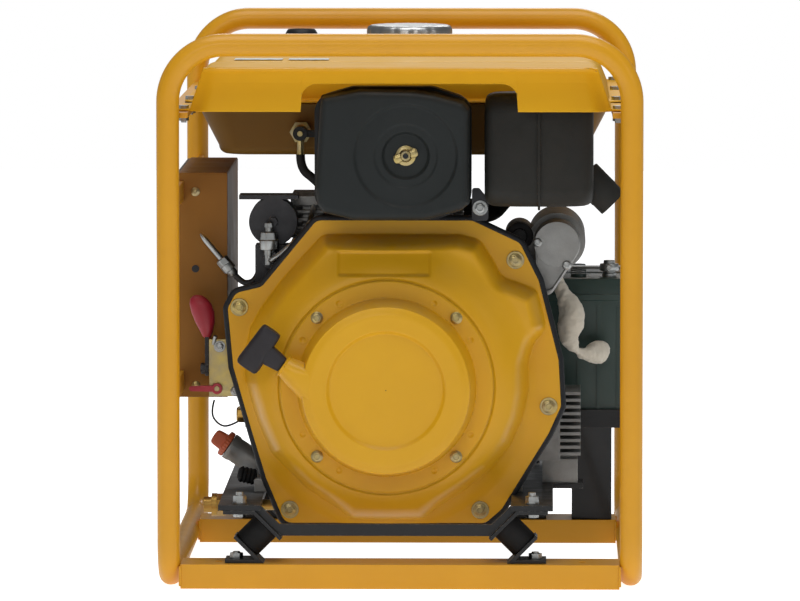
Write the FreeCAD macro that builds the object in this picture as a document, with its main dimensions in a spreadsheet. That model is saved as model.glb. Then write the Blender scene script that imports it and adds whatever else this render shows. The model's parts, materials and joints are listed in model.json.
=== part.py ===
import FreeCAD, Part
import Sketcher
import math
import os
import re

# Engine driven welder: an air-cooled single-cylinder engine and a welding alternator in an open tube frame.
# Millimetres. X to the right, Y to the back, Z up; the origin is on the floor, at the middle of the frame.
# The recoil starter faces the front, -Y.

V = FreeCAD.Vector
doc = FreeCAD.newDocument("engine_driven_welder")

SIZES = [
    # tube frame
    ("frame_width", 532, "over the hoop legs"),
    ("frame_length", 720, "over the two hoops"),
    ("frame_height", 610, "floor to the top of the hoops"),
    ("tube_dia", 25, "frame tube, outside"),
    ("tube_wall", 2.5, "frame tube wall"),
    ("hoop_bend", 62, "centreline radius of a hoop's top corner"),
    ("foot_bend", 45, "centreline radius where a leg turns into its skid"),
    ("cross_depth", 64, "cross member, front to back"),
    ("cross_height", 27, "cross member, floor to its top"),
    ("cross_sheet", 4, "cross member sheet"),
    ("front_cross_at", -313, "middle of the front cross member"),
    ("rear_cross_at", 142, "middle of the rear cross member"),
    ("frame_hole", 9, "bolt holes in the cross members"),
    ("frame_hole_pitch", 400, "spacing of the floor bolts"),
    # engine cradle and its rubber mounts
    ("crank_x", -16, "crankshaft axis, sideways"),
    ("crank_z", 216, "crankshaft axis, height"),
    ("mount_half", 161, "mount bolt from the crank axis, sideways"),
    ("rail_top", 91, "top of the cradle rails"),
    ("rail_sheet", 6, "cradle rail plate"),
    ("rail_width", 46, "cradle rail"),
    ("cradle_front", -333, "front end of the rails"),
    ("cradle_back", 300, "back end of the rails"),
    ("crossbar_drop", 28, "height of the cradle cross bars"),
    ("crossbar_sheet", 5, "cradle cross bar sheet"),
    ("crossbar_middle", 13, "height of a cross bar between its bends"),
    ("bracket_sheet", 4, "mount bracket steel"),
    ("bracket_depth", 42, "mount bracket, front to back"),
    ("bracket_flat", 35, "flat part of a mount bracket"),
    ("bracket_slant", 30, "rise of a bracket's slanted part"),
    ("rubber_dia", 33, "rubber mount"),
    ("rubber_length", 30, "rubber mount"),
    ("bolt_dia", 8, "frame bolts"),
    ("bolt_clearance", 0.5, "bolt hole over bolt"),
    # tank
    ("tank_joint", 525, "height of the tank's flange"),
    ("tank_top", 571, "height of the tank's upper face"),
    ("tank_floor", 466, "height of the tank's lower face"),
    ("tank_half", 231, "half width of the tank at the flange"),
    ("tank_top_half", 216, "half width of the tank's upper face"),
    ("tank_floor_half", 207, "half width of the tank's floor"),
    ("tank_front", -160, "front end of the tank"),
    ("tank_back", 322, "back end of the tank"),
    ("tank_sheet", 2, "tank sheet"),
    ("flange_width", 14, "tank flange"),
    ("skirt_front", -327, "front face of the skirt"),
    ("skirt_gap", 1.0, "skirt to the tank's upper shell"),
    ("arch_left", -109, "arch over the air cleaner"),
    ("arch_right", 129, "arch over the air cleaner"),
    ("arch_top", 554, "arch over the air cleaner"),
    ("arch_radius", 18, "corners of the arch"),
    ("cap_x", 3, "fuel cap"),
    ("cap_y", 70, "fuel cap"),
    ("cap_dia", 98, "fuel cap"),
    ("cap_height", 22, "fuel cap"),
    ("neck_dia", 78, "filler neck"),
    ("neck_height", 24, "filler neck above the tank"),
    ("gauge_x", -121, "fuel gauge"),
    ("gauge_dia", 38, "fuel gauge"),
    # fan housing and recoil starter, measured from the crank axis
    ("housing_rise", 181, "crank axis to the top edge"),
    ("housing_drop", 157, "crank axis to the bottom edge"),
    ("housing_left", 178, "crank axis to the left ear"),
    ("housing_right", 193, "crank axis to the right ear"),
    ("housing_flange_at", -215, "joint of the housing and the edging plate"),
    ("housing_depth", 36, "depth of the pressed tub"),
    ("housing_lip", 15, "flange around the tub"),
    ("housing_sheet", 2, "housing sheet"),
    ("housing_corner", 12, "outline corners"),
    ("edging_out", 5.5, "edging plate beyond the housing"),
    ("edging_sheet", 6, "edging plate"),
    ("dome_base", 140, "radius of the cone at the tub"),
    ("dome_rim", 119, "radius of the cone at the recoil flange"),
    ("dome_depth", 20, "cone, front to back"),
    ("recoil_flange", 118, "radius of the recoil cover's flange"),
    ("recoil_barrel", 96, "radius of the recoil cover"),
    ("recoil_depth", 46, "recoil cover, front to back"),
    ("recoil_ring", 64, "radius of the pressed centre"),
    ("recoil_sheet", 2, "recoil cover sheet"),
    ("recoil_bolts", 153.7, "square pitch of the recoil cover's bolts"),
    ("ear_bolt", 6, "housing bolts"),
    ("ear_washer", 20, "housing washers"),
    ("pulley_radius", 62, "recoil pulley groove"),
    ("rope_dia", 5, "starter rope"),
    ("grip_dia", 28, "cross bar of the starter grip"),
    ("grip_length", 52, "cross bar of the starter grip"),
    ("fan_radius", 128, "flywheel"),
    # engine
    ("case_left", 134, "crankcase left of the crank axis"),
    ("case_right", 128, "crankcase right of the crank axis"),
    ("case_back", 48, "back of the crankcase"),
    ("case_top", 300, "top of the crankcase"),
    ("sump_drop", 28, "sump below the rails"),
    ("shaft_dia", 36, "crankshaft"),
    ("shaft_clearance", 0.06, "radial clearance of the shafts"),
    ("bore", 86, "cylinder bore"),
    ("stroke", 62, "piston stroke"),
    ("cylinder_y", -70, "cylinder axis"),
    ("cylinder_x", -30, "cylinder axis"),
    ("barrel_radius", 64, "fins of the barrel"),
    ("barrel_top", 362, "top of the barrel"),
    ("head_top", 418, "top of the cylinder head"),
    ("fin_pitch", 9, "cooling fins"),
    ("fin_sheet", 4, "cooling fins"),
    ("side_fins", 10, "fins on the right of the crankcase"),
    ("side_fin_pitch", 7.6, "fins on the right of the crankcase"),
    # air cleaner and muffler
    ("cleaner_x", -9, "air cleaner middle"),
    ("cleaner_width", 173, "air cleaner"),
    ("cleaner_floor", 402, "air cleaner"),
    ("cleaner_height", 146, "air cleaner"),
    ("cleaner_front", -326, "front of the air cleaner cover"),
    ("cleaner_depth", 56, "cover, front to back"),
    ("cleaner_base", 30, "base, front to back"),
    ("cleaner_corner", 22, "corners"),
    ("cleaner_wall", 2.5, "moulded wall"),
    ("dish_x", 6, "wing nut and its dish"),
    ("dish_z", 475, "wing nut and its dish"),
    ("dish_radius", 54, "round dish in the cover"),
    ("dish_depth", 9, "round dish in the cover"),
    ("stud_dia", 6, "air cleaner stud"),
    ("muffler_left", 92, "muffler"),
    ("muffler_right", 212, "muffler"),
    ("muffler_floor", 416, "muffler"),
    ("muffler_top", 540, "muffler"),
    ("muffler_front", -292, "muffler"),
    ("muffler_back", -180, "muffler"),
    ("muffler_corner", 16, "muffler"),
    ("muffler_sheet", 1.5, "muffler"),
    ("outlet_dia", 35, "exhaust outlet"),
    ("outlet_length", 44, "exhaust outlet from its root in the muffler"),
    ("outlet_collar", 30, "thicker root of the exhaust outlet"),
    ("outlet_collar_step", 0.5, "thicker root of the exhaust outlet, over the outlet"),
    # alternator
    ("alternator_dia", 244, "alternator housing"),
    ("alternator_front", 62, "front of the housing"),
    ("alternator_back", 292, "back of the housing"),
    ("alternator_wall", 6, "housing wall"),
    ("air_gap", 1.5, "rotor to stator"),
    ("rotor_dia", 160, "rotor"),
    ("stator_length", 130, "stator"),
    # electrics
    ("box_set_in", 1.5, "outer face of the control box, inwards of the leg's axis"),
    ("box_width", 55, "control box, sideways"),
    ("box_outer", "=box_set_in - (frame_width - tube_dia) / 2", "outer face of the control box"),
    ("box_inner", "=box_outer + box_width", "inner face of the control box"),
    ("box_front", -147, "control box"),
    ("box_back", 137, "control box"),
    ("box_floor", 193, "control box"),
    ("box_top", 444, "control box"),
    ("box_sheet", 1.6, "control box"),
    ("panel_sheet", 3, "control panel"),
    ("socket_bore", 13, "welding cable socket"),
    ("socket_depth", 30, "welding cable socket"),
    ("battery_left", 138, "battery"),
    ("battery_width", 118, "battery"),
    ("battery_front", 2, "battery"),
    ("battery_length", 190, "battery"),
    ("battery_floor", 148, "battery"),
    ("battery_height", 172, "battery"),
    ("tray_sheet", 3, "battery tray"),
    ("tray_rim", 18, "battery tray"),
    ("fit_gap", 0.4, "running gap between parts that move past each other"),
]

sheet = doc.addObject("Spreadsheet::Sheet", "sizes")
for row, (alias, value, note) in enumerate(SIZES, 1):
    sheet.set(f"A{row}", alias)
    sheet.set(f"B{row}", str(value))
    sheet.set(f"C{row}", note)
    sheet.setAlias(f"B{row}", alias)
doc.recompute()

NAMES = {alias for alias, value, note in SIZES}
HALF_OPEN = "frame_width / 2 - tube_dia"
NODES = {}


def size(alias):
    """The number in the sheet, for shapes that are set in code."""
    return float(sheet.get(alias))


def bound(text):
    """An expression with each alias spelled as the sheet's cell."""
    return re.sub(r"[a-z]+[a-z0-9_]*", lambda word: sheet_word(word.group(0)), str(text))


def sheet_word(word):
    return "sizes." + word if word in NAMES else word


def bind(item, **sizes):
    for prop, text in sizes.items():
        item.setExpression(prop, bound(text))
    return item


def place(item, at, turn=None):
    item.Placement = FreeCAD.Placement(V(0, 0, 0), turn or FreeCAD.Rotation())
    for axis, text in zip("xyz", at):
        item.setExpression("Placement.Base." + axis, bound(text))
    return item


def along(direction):
    """The turn that takes local Z to a direction."""
    return FreeCAD.Rotation(V(0, 0, 1), V(*direction))


AXES = {"x": (1, 0, 0), "y": (0, 1, 0), "z": (0, 0, 1), "-x": (-1, 0, 0), "-y": (0, -1, 0), "-z": (0, 0, -1)}


def direction_of(axis):
    return AXES[axis] if isinstance(axis, str) else axis


def block(name, x, y, z):
    """A box between pairs of bounds."""
    item = doc.addObject("Part::Box", name)
    for prop, (low, high) in zip(("Length", "Width", "Height"), (x, y, z)):
        bind(item, **{prop: f"({high}) - ({low})"})
    return place(item, (x[0], y[0], z[0]))


def rod(name, axis, radius, length, at):
    item = doc.addObject("Part::Cylinder", name)
    bind(item, Radius=radius, Height=length)
    return place(item, at, along(direction_of(axis)))


def taper(name, axis, radius, end_radius, length, at):
    item = doc.addObject("Part::Cone", name)
    bind(item, Radius1=radius, Radius2=end_radius, Height=length)
    return place(item, at, along(direction_of(axis)))


def hexagon(name, axis, across, length, at):
    """A hexagon prism, its width given across the flats."""
    item = doc.addObject("Part::Prism", name)
    item.Polygon = 6
    bind(item, Circumradius=f"({across}) / sqrt(3)", Height=length)
    return place(item, at, along(direction_of(axis)))


def elbow(name, start, end, bend, radius, at):
    """A quarter of a torus from one radial direction to another."""
    item = doc.addObject("Part::Torus", name)
    item.Angle3 = 90
    bind(item, Radius1=bend, Radius2=radius)
    start, end = V(*start), V(*end)
    return place(item, at, FreeCAD.Rotation(start, end, start.cross(end), "XYZ"))


def fuse(name, items):
    item = doc.addObject("Part::MultiFuse", name)
    item.Shapes = items
    return item


def cut(name, base, tools):
    tools = tools if isinstance(tools, list) else [tools]
    item = doc.addObject("Part::Cut", name)
    item.Base = base
    item.Tool = tools[0] if len(tools) == 1 else fuse(name + "_tools", tools)
    return item


def gather(name, items):
    """Separate solids of one kind that share a node."""
    item = doc.addObject("Part::Compound", name)
    item.Links = items
    return item


def coded(name, shape):
    """A shape made in code, for outlines that neither primitives nor sketches fit."""
    item = doc.addObject("Part::Feature", name)
    item.Shape = shape
    return item


def node(item):
    NODES[item.Label] = item
    return item


def outline(body, name, plane, points, offset="0"):
    """A closed sketch whose corners are all set from the sheet."""
    sketch = body.newObject("Sketcher::SketchObject", name)
    support = [feature for feature in body.Origin.OriginFeatures if feature.Role == plane][0]
    sketch.AttachmentSupport = [(support, "")]
    sketch.MapMode = "FlatFace"
    count = len(points)
    turns = [2 * math.pi * index / count for index in range(count)]
    start = [V(100 * math.cos(turn), 100 * math.sin(turn), 0) for turn in turns]
    for index in range(count):
        sketch.addGeometry(Part.LineSegment(start[index], start[(index + 1) % count]), False)
    for index in range(count):
        sketch.addConstraint(Sketcher.Constraint("Coincident", index, 2, (index + 1) % count, 1))
    for index, point in enumerate(points):
        for kind, first, text in zip(("DistanceX", "DistanceY"), start[index], point):
            number = sketch.addConstraint(Sketcher.Constraint(kind, -1, 1, index, 1, first))
            sketch.setExpression(f"Constraints[{number}]", bound(text))
    sketch.setExpression("AttachmentOffset.Base.z", bound(offset))
    return sketch


def prism(name, plane, points, start, length):
    """A body padded from an outline: plane XZ pads to the back, YZ to the right and XY up."""
    body = doc.addObject("PartDesign::Body", name)
    backwards = plane == "XZ"
    offset = f"-({start})" if backwards else start
    sketch = outline(body, name + "_sketch", plane + "_Plane", points, offset)
    pad = body.newObject("PartDesign::Pad", name + "_pad")
    pad.Profile = sketch
    pad.Reversed = backwards
    bind(pad, Length=length)
    return body


def turned(name, points, axis, at):
    """A body revolved about local Z from (radius, height) points, then laid along an axis."""
    body = doc.addObject("PartDesign::Body", name)
    sketch = outline(body, name + "_sketch", "XZ_Plane", points)
    spin = body.newObject("PartDesign::Revolution", name + "_spin")
    spin.Profile = sketch
    spin.ReferenceAxis = (sketch, ["V_Axis"])
    spin.Angle = 360
    return place(body, at, along(direction_of(axis)))


def rounded(points, radius):
    """A closed wire of straight runs joined by tangent arcs; points are (u, v) pairs in the XZ plane."""
    count = len(points)
    edges = []
    corners = [V(u, 0, v) for u, v in points]
    ends = []
    for index in range(count):
        before, here, after = corners[index - 1], corners[index], corners[(index + 1) % count]
        back = (before - here).normalize()
        ahead = (after - here).normalize()
        half = back.getAngle(ahead) / 2
        limit = 0.45 * min((before - here).Length, (after - here).Length)
        reach = min(radius / math.tan(half), limit)
        actual = reach * math.tan(half)
        middle = here + (back + ahead).normalize() * (actual / math.sin(half) - actual)
        ends.append((here + back * reach, middle, here + ahead * reach))
    for index in range(count):
        first, middle, last = ends[index]
        edges.append(Part.Arc(first, middle, last).toShape())
        edges.append(Part.LineSegment(last, ends[(index + 1) % count][0]).toShape())
    return Part.Wire(edges)


def slab(wire, y_start, depth):
    """A rounded outline as a solid from y_start to the back."""
    face = Part.Face(wire)
    face.translate(V(0, y_start, 0))
    return face.extrude(V(0, depth, 0))


def grown(wire, by):
    return wire.makeOffset2D(by) if abs(by) > 1e-9 else wire


# ---------------------------------------------------------------- tube frame

LEG_X = "(frame_width - tube_dia) / 2"
LEG_Y = "(frame_length - tube_dia) / 2"
AXIS_Z = "tube_dia / 2"
SHOULDER = "frame_height - tube_dia / 2 - hoop_bend"


def hoop_core(name, back, radius):
    """An inverted U whose legs turn into the skids; back is 1 for the rear hoop."""
    plane_y = f"{back} * ({LEG_Y})"
    foot_y = f"{back} * ({LEG_Y} - foot_bend)"
    leg_foot = f"{AXIS_Z} + foot_bend"
    parts = []
    for side in (-1, 1):
        tag = f"{name}_{'left' if side < 0 else 'right'}"
        leg_x = f"{side} * ({LEG_X})"
        corner_x = f"{side} * ({LEG_X} - hoop_bend)"
        leg = rod(tag + "_leg", "z", radius, f"({SHOULDER}) - ({leg_foot})", (leg_x, plane_y, leg_foot))
        corner = elbow(tag + "_corner", (side, 0, 0), (0, 0, 1), "hoop_bend", radius, (corner_x, plane_y, SHOULDER))
        foot = elbow(tag + "_foot", (0, back, 0), (0, 0, -1), "foot_bend", radius, (leg_x, foot_y, leg_foot))
        parts += [leg, corner, foot]
    top = rod(name + "_top", "x", radius, f"2 * ({LEG_X} - hoop_bend)",
              (f"-({LEG_X} - hoop_bend)", plane_y, "frame_height - tube_dia / 2"))
    return fuse(name, parts + [top])


for back, label in ((-1, "front_hoop"), (1, "rear_hoop")):
    solid = hoop_core(label + "_outside", back, "tube_dia / 2")
    hollow = hoop_core(label + "_inside", back, "tube_dia / 2 - tube_wall")
    node(cut(label, solid, hollow))

skids = []
for side, label in ((-1, "left_skid"), (1, "right_skid")):
    start = (f"{side} * ({LEG_X})", f"-({LEG_Y} - foot_bend)", AXIS_Z)
    run = f"2 * ({LEG_Y} - foot_bend)"
    solid = rod(label + "_outside", "y", "tube_dia / 2", run, start)
    skids.append(cut(label, solid, rod(label + "_inside", "y", "tube_dia / 2 - tube_wall", run, start)))
node(gather("skid_tubes", skids))


def cross_member(label, middle):
    """An inverted channel between the skids, bolted to the floor and to the mount brackets."""
    near = f"{middle} - cross_depth / 2"
    far = f"{middle} + cross_depth / 2"
    skin = "cross_sheet"
    profile = [(near, "0"), (f"{near} + {skin}", "0"), (f"{near} + {skin}", f"cross_height - {skin}"),
               (f"{far} - {skin}", f"cross_height - {skin}"), (f"{far} - {skin}", "0"), (far, "0"),
               (far, "cross_height"), (near, "cross_height")]
    channel = prism(label + "_channel", "YZ", profile, f"-({HALF_OPEN})", f"2 * ({HALF_OPEN})")
    holes = [rod(f"{label}_floor_hole_{number}", "z", "frame_hole / 2", "cross_height",
                 (f"{side} * frame_hole_pitch / 2", middle, "cross_sheet"))
             for number, side in enumerate((-1, 1))]
    holes += [rod(f"{label}_mount_hole_{number}", "z", "bolt_dia / 2 + bolt_clearance", "cross_height",
                  (f"crank_x + {side} * ({FOOT_BOLT})", middle, "cross_sheet"))
              for number, side in enumerate((-1, 1))]
    return node(cut(label, channel, holes))


# 45-degree mounts: the upper bracket hangs under the rail, the rubber leans outward and down from it, and the
# lower bracket stands on the cross member. U is the distance from the crank axis, sideways.
DIAGONAL = "sqrt(0.5)"
RAIL_UNDER = "rail_top - rail_sheet"
BEND_U = "mount_half - bracket_flat / 2"
OUTER_U = "mount_half + bracket_flat / 2"
RUBBER_U = f"{BEND_U} - bracket_slant / 2 + bracket_sheet * {DIAGONAL}"
RUBBER_Z = f"{RAIL_UNDER} - bracket_slant / 2 - bracket_sheet * {DIAGONAL}"
SEAT_U = f"{RUBBER_U} + rubber_length * {DIAGONAL}"
SEAT_Z = f"{RUBBER_Z} - rubber_length * {DIAGONAL}"
SEAT_HALF = "rubber_dia / 2"
FOOT_BOLT = f"{SEAT_U} + bracket_sheet * 3"
FOOT_OUT = f"{SEAT_U} + 24"

for label, middle in (("front_cross_member", "front_cross_at"), ("rear_cross_member", "rear_cross_at")):
    cross_member(label, middle)

upper_brackets, lower_brackets, rubbers, mount_bolts = [], [], [], []
for end, middle in (("front", "front_cross_at"), ("rear", "rear_cross_at")):
    for side, hand in ((-1, "left"), (1, "right")):
        tag = f"{end}_{hand}"
        begin = f"{middle} - bracket_depth / 2"

        def at_u(text):
            return f"crank_x + {side} * ({text})"

        bent = f"{BEND_U} + bracket_sheet * tan(22.5deg)"
        upper = prism(tag + "_upper_bracket", "XZ", [
            (at_u(OUTER_U), RAIL_UNDER),
            (at_u(OUTER_U), f"{RAIL_UNDER} - bracket_sheet"),
            (at_u(bent), f"{RAIL_UNDER} - bracket_sheet"),
            (at_u(f"{BEND_U} - bracket_slant + bracket_sheet * {DIAGONAL}"),
             f"{RAIL_UNDER} - bracket_slant - bracket_sheet * {DIAGONAL}"),
            (at_u(f"{BEND_U} - bracket_slant"), f"{RAIL_UNDER} - bracket_slant"),
            (at_u(BEND_U), RAIL_UNDER)], begin, "bracket_depth")
        bolt_hole = rod(tag + "_upper_hole", "z", "bolt_dia / 2 + bolt_clearance", "bracket_sheet * 3",
                        (at_u("mount_half"), middle, f"{RAIL_UNDER} - bracket_sheet * 2"))
        upper_brackets.append(cut(tag + "_upper", upper, bolt_hole))

        slope = f"({SEAT_U}) - ({SEAT_Z})"
        thick = f"bracket_sheet / {DIAGONAL}"
        lower = prism(tag + "_lower_bracket", "XZ", [
            (at_u(f"{SEAT_U} + {SEAT_HALF} * {DIAGONAL}"), f"{SEAT_Z} + {SEAT_HALF} * {DIAGONAL}"),
            (at_u(f"{slope} + cross_height"), "cross_height"),
            (at_u(FOOT_OUT), "cross_height"),
            (at_u(FOOT_OUT), "cross_height + bracket_sheet"),
            (at_u(f"{slope} + {thick} + cross_height + bracket_sheet"), "cross_height + bracket_sheet"),
            (at_u(f"{SEAT_U} + ({SEAT_HALF} + bracket_sheet) * {DIAGONAL}"),
             f"{SEAT_Z} + ({SEAT_HALF} - bracket_sheet) * {DIAGONAL}")], begin, "bracket_depth")
        foot_hole = rod(tag + "_lower_hole", "z", "bolt_dia / 2 + bolt_clearance", "bracket_sheet * 2",
                        (at_u(FOOT_BOLT), middle, "cross_height - 1"))
        lower_brackets.append(cut(tag + "_lower", lower, foot_hole))

        rubbers.append(rod(tag + "_rubber", (side, 0, -1), "rubber_dia / 2", "rubber_length",
                           (at_u(RUBBER_U), middle, RUBBER_Z)))

        shank = "bolt_dia / 2"
        across = "bolt_dia * 1.6"
        rail_bolt = fuse(tag + "_rail_bolt", [
            rod(tag + "_rail_shank", "z", shank, f"rail_sheet + bracket_sheet + bolt_dia * 1.6",
                (at_u("mount_half"), middle, f"{RAIL_UNDER} - bracket_sheet")),
            hexagon(tag + "_rail_head", "-z", across, "bolt_dia * 0.6",
                    (at_u("mount_half"), middle, f"{RAIL_UNDER} - bracket_sheet")),
            rod(tag + "_rail_washer", "z", "bolt_dia", "1.6", (at_u("mount_half"), middle, "rail_top")),
            hexagon(tag + "_rail_nut", "z", across, "bolt_dia * 0.9",
                    (at_u("mount_half"), middle, "rail_top + 1.6"))])
        foot_bolt = fuse(tag + "_foot_bolt", [
            rod(tag + "_foot_shank", "z", shank, "bracket_sheet * 2 + bolt_dia * 0.9",
                (at_u(FOOT_BOLT), middle, "cross_height - cross_sheet")),
            hexagon(tag + "_foot_head", "-z", across, "bolt_dia * 0.6",
                    (at_u(FOOT_BOLT), middle, "cross_height - cross_sheet")),
            hexagon(tag + "_foot_nut", "z", across, "bolt_dia * 0.7",
                    (at_u(FOOT_BOLT), middle, "cross_height + bracket_sheet"))])
        mount_bolts += [rail_bolt, foot_bolt]

node(gather("mount_brackets", upper_brackets + lower_brackets))
node(gather("mount_rubbers", rubbers))


# ---------------------------------------------------------------- cradle

def cradle():
    """Two flat rails joined by cross bars bent down at 45 degrees, with an outrigger for the engine's right foot."""
    rails = []
    for side, hand in ((-1, "left"), (1, "right")):
        low = f"crank_x + {side} * mount_half - rail_width / 2"
        rail = block(f"rail_{hand}", (low, f"{low} + rail_width"), ("cradle_front", "cradle_back"),
                     (RAIL_UNDER, "rail_top"))
        holes = [rod(f"rail_{hand}_hole_{number}", "z", "bolt_dia / 2 + bolt_clearance", "rail_sheet * 2",
                     (f"crank_x + {side} * mount_half", middle, f"{RAIL_UNDER} - rail_sheet / 2"))
                 for number, middle in enumerate(("front_cross_at", "rear_cross_at"))]
        rails.append(cut(f"rail_{hand}_drilled", rail, holes))
    rail_inner = "mount_half - rail_width / 2"
    rise = "(rail_sheet + crossbar_drop - crossbar_middle)"
    bars = []
    for number, start in enumerate(("cradle_front + crossbar_sheet", "cradle_back - crossbar_sheet * 2")):
        bars.append(prism(f"cradle_bar_{number}", "XZ", [
            (f"crank_x - ({BEND_U} - fit_gap)", RAIL_UNDER),
            (f"crank_x - ({BEND_U} - fit_gap - crossbar_drop)", f"{RAIL_UNDER} - crossbar_drop"),
            (f"crank_x + ({BEND_U} - fit_gap - crossbar_drop)", f"{RAIL_UNDER} - crossbar_drop"),
            (f"crank_x + ({BEND_U} - fit_gap)", RAIL_UNDER),
            (f"crank_x + ({rail_inner})", RAIL_UNDER),
            (f"crank_x + ({rail_inner})", "rail_top"),
            (f"crank_x + ({rail_inner} - {rise})", f"rail_top - {rise}"),
            (f"crank_x - ({rail_inner} - {rise})", f"rail_top - {rise}"),
            (f"crank_x - ({rail_inner})", "rail_top"),
            (f"crank_x - ({rail_inner})", RAIL_UNDER)], start, "crossbar_sheet"))
    arm_left = "crank_x + mount_half + rail_width / 2"
    arm = block("cradle_arm", (arm_left, f"{arm_left} + 34"), ("-92", "-44"), (RAIL_UNDER, "rail_top"))
    return node(fuse("engine_cradle", rails + bars + [arm]))


cradle()


def route(name, points, radius):
    """A tube through straight runs joined by the largest tangent arcs that the runs allow."""
    corners = [V(*point) for point in points]
    edges = []
    last = corners[0]
    for before, here, after in zip(corners, corners[1:], corners[2:]):
        back = (before - here).normalize()
        ahead = (after - here).normalize()
        half_turn = (math.pi - back.getAngle(ahead)) / 2
        reach = 0.45 * min((before - here).Length, (after - here).Length)
        bend = reach / math.tan(half_turn)
        inward = (back + ahead).normalize()
        middle = here + inward * (bend / math.cos(half_turn) - bend)
        edges.append(Part.LineSegment(last, here + back * reach).toShape())
        edges.append(Part.Arc(here + back * reach, middle, here + ahead * reach).toShape())
        last = here + ahead * reach
    edges.append(Part.LineSegment(last, corners[-1]).toShape())
    spine = Part.Wire(edges)
    start = (corners[1] - corners[0]).normalize()
    section = Part.Wire([Part.makeCircle(radius, corners[0], start)])
    shape = spine.makePipeShell([section], True, False)
    return coded(name, shape)


# ---------------------------------------------------------------- tank

RAIL_LOW = "tank_joint - tank_sheet - 6"
RAIL_HIGH = "tank_joint - tank_sheet"
FLANGE_HALF = "tank_half + flange_width"
TANK_BOLT_X = "tank_half + flange_width / 2 + 0.5"
TANK_BOLT_Y = ("skirt_front + 32", "tank_front + 22", "(tank_front + tank_back) / 2", "tank_back - 22")
TANK_BOLT = 3
FLANGE_FRONT = "tank_front - flange_width"
FLANGE_BACK = "tank_back + flange_width - 6"
SKIRT_BACK = f"{FLANGE_FRONT} - skirt_gap"


def leg_cope(tag, side, back):
    """The leg's outside, to shape a bar's welded end."""
    return rod(tag, "z", "tube_dia / 2 + 0.05", "frame_height", (f"{side} * ({LEG_X})", f"{back} * ({LEG_Y})", "0"))


def bolt_spots():
    return [(side, number, y) for side in (-1, 1) for number, y in enumerate(TANK_BOLT_Y)]


def flange_holes(tag, low, high, numbers):
    return [rod(f"{tag}_{number}_{side + 1}", "z", f"{TANK_BOLT} + bolt_clearance", f"({high}) - ({low}) + 2",
                (f"{side} * ({TANK_BOLT_X})", y, f"{low} - 1"))
            for side, number, y in bolt_spots() if number in numbers]


def tank_rails():
    bars = []
    for side, hand in ((-1, "left"), (1, "right")):
        inner, outer = "tank_half + 1.5", f"{LEG_X} + 3"
        x = (f"-({outer})", f"-({inner})") if side < 0 else (inner, outer)
        bar = block(f"tank_rail_{hand}", x, (f"-({LEG_Y} - tube_dia / 2 + 1)", f"{LEG_Y} - tube_dia / 2 + 1"),
                    (RAIL_LOW, RAIL_HIGH))
        tools = [leg_cope(f"tank_rail_{hand}_cope_{back + 1}", side, back) for back in (-1, 1)]
        bars.append(cut(f"tank_rail_{hand}_coped", bar, tools))
    rails = cut("tank_rails", gather("tank_rail_bars", bars),
                flange_holes("tank_rail_hole", RAIL_LOW, RAIL_HIGH, (0, 1, 2, 3)))
    node(rails)


def tank_profile(inset, low, high, low_half, high_half):
    return [(f"-({low_half} - {inset})", low), (f"{low_half} - {inset}", low),
            (f"{high_half} - {inset}", high), (f"-({high_half} - {inset})", high)]


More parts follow.
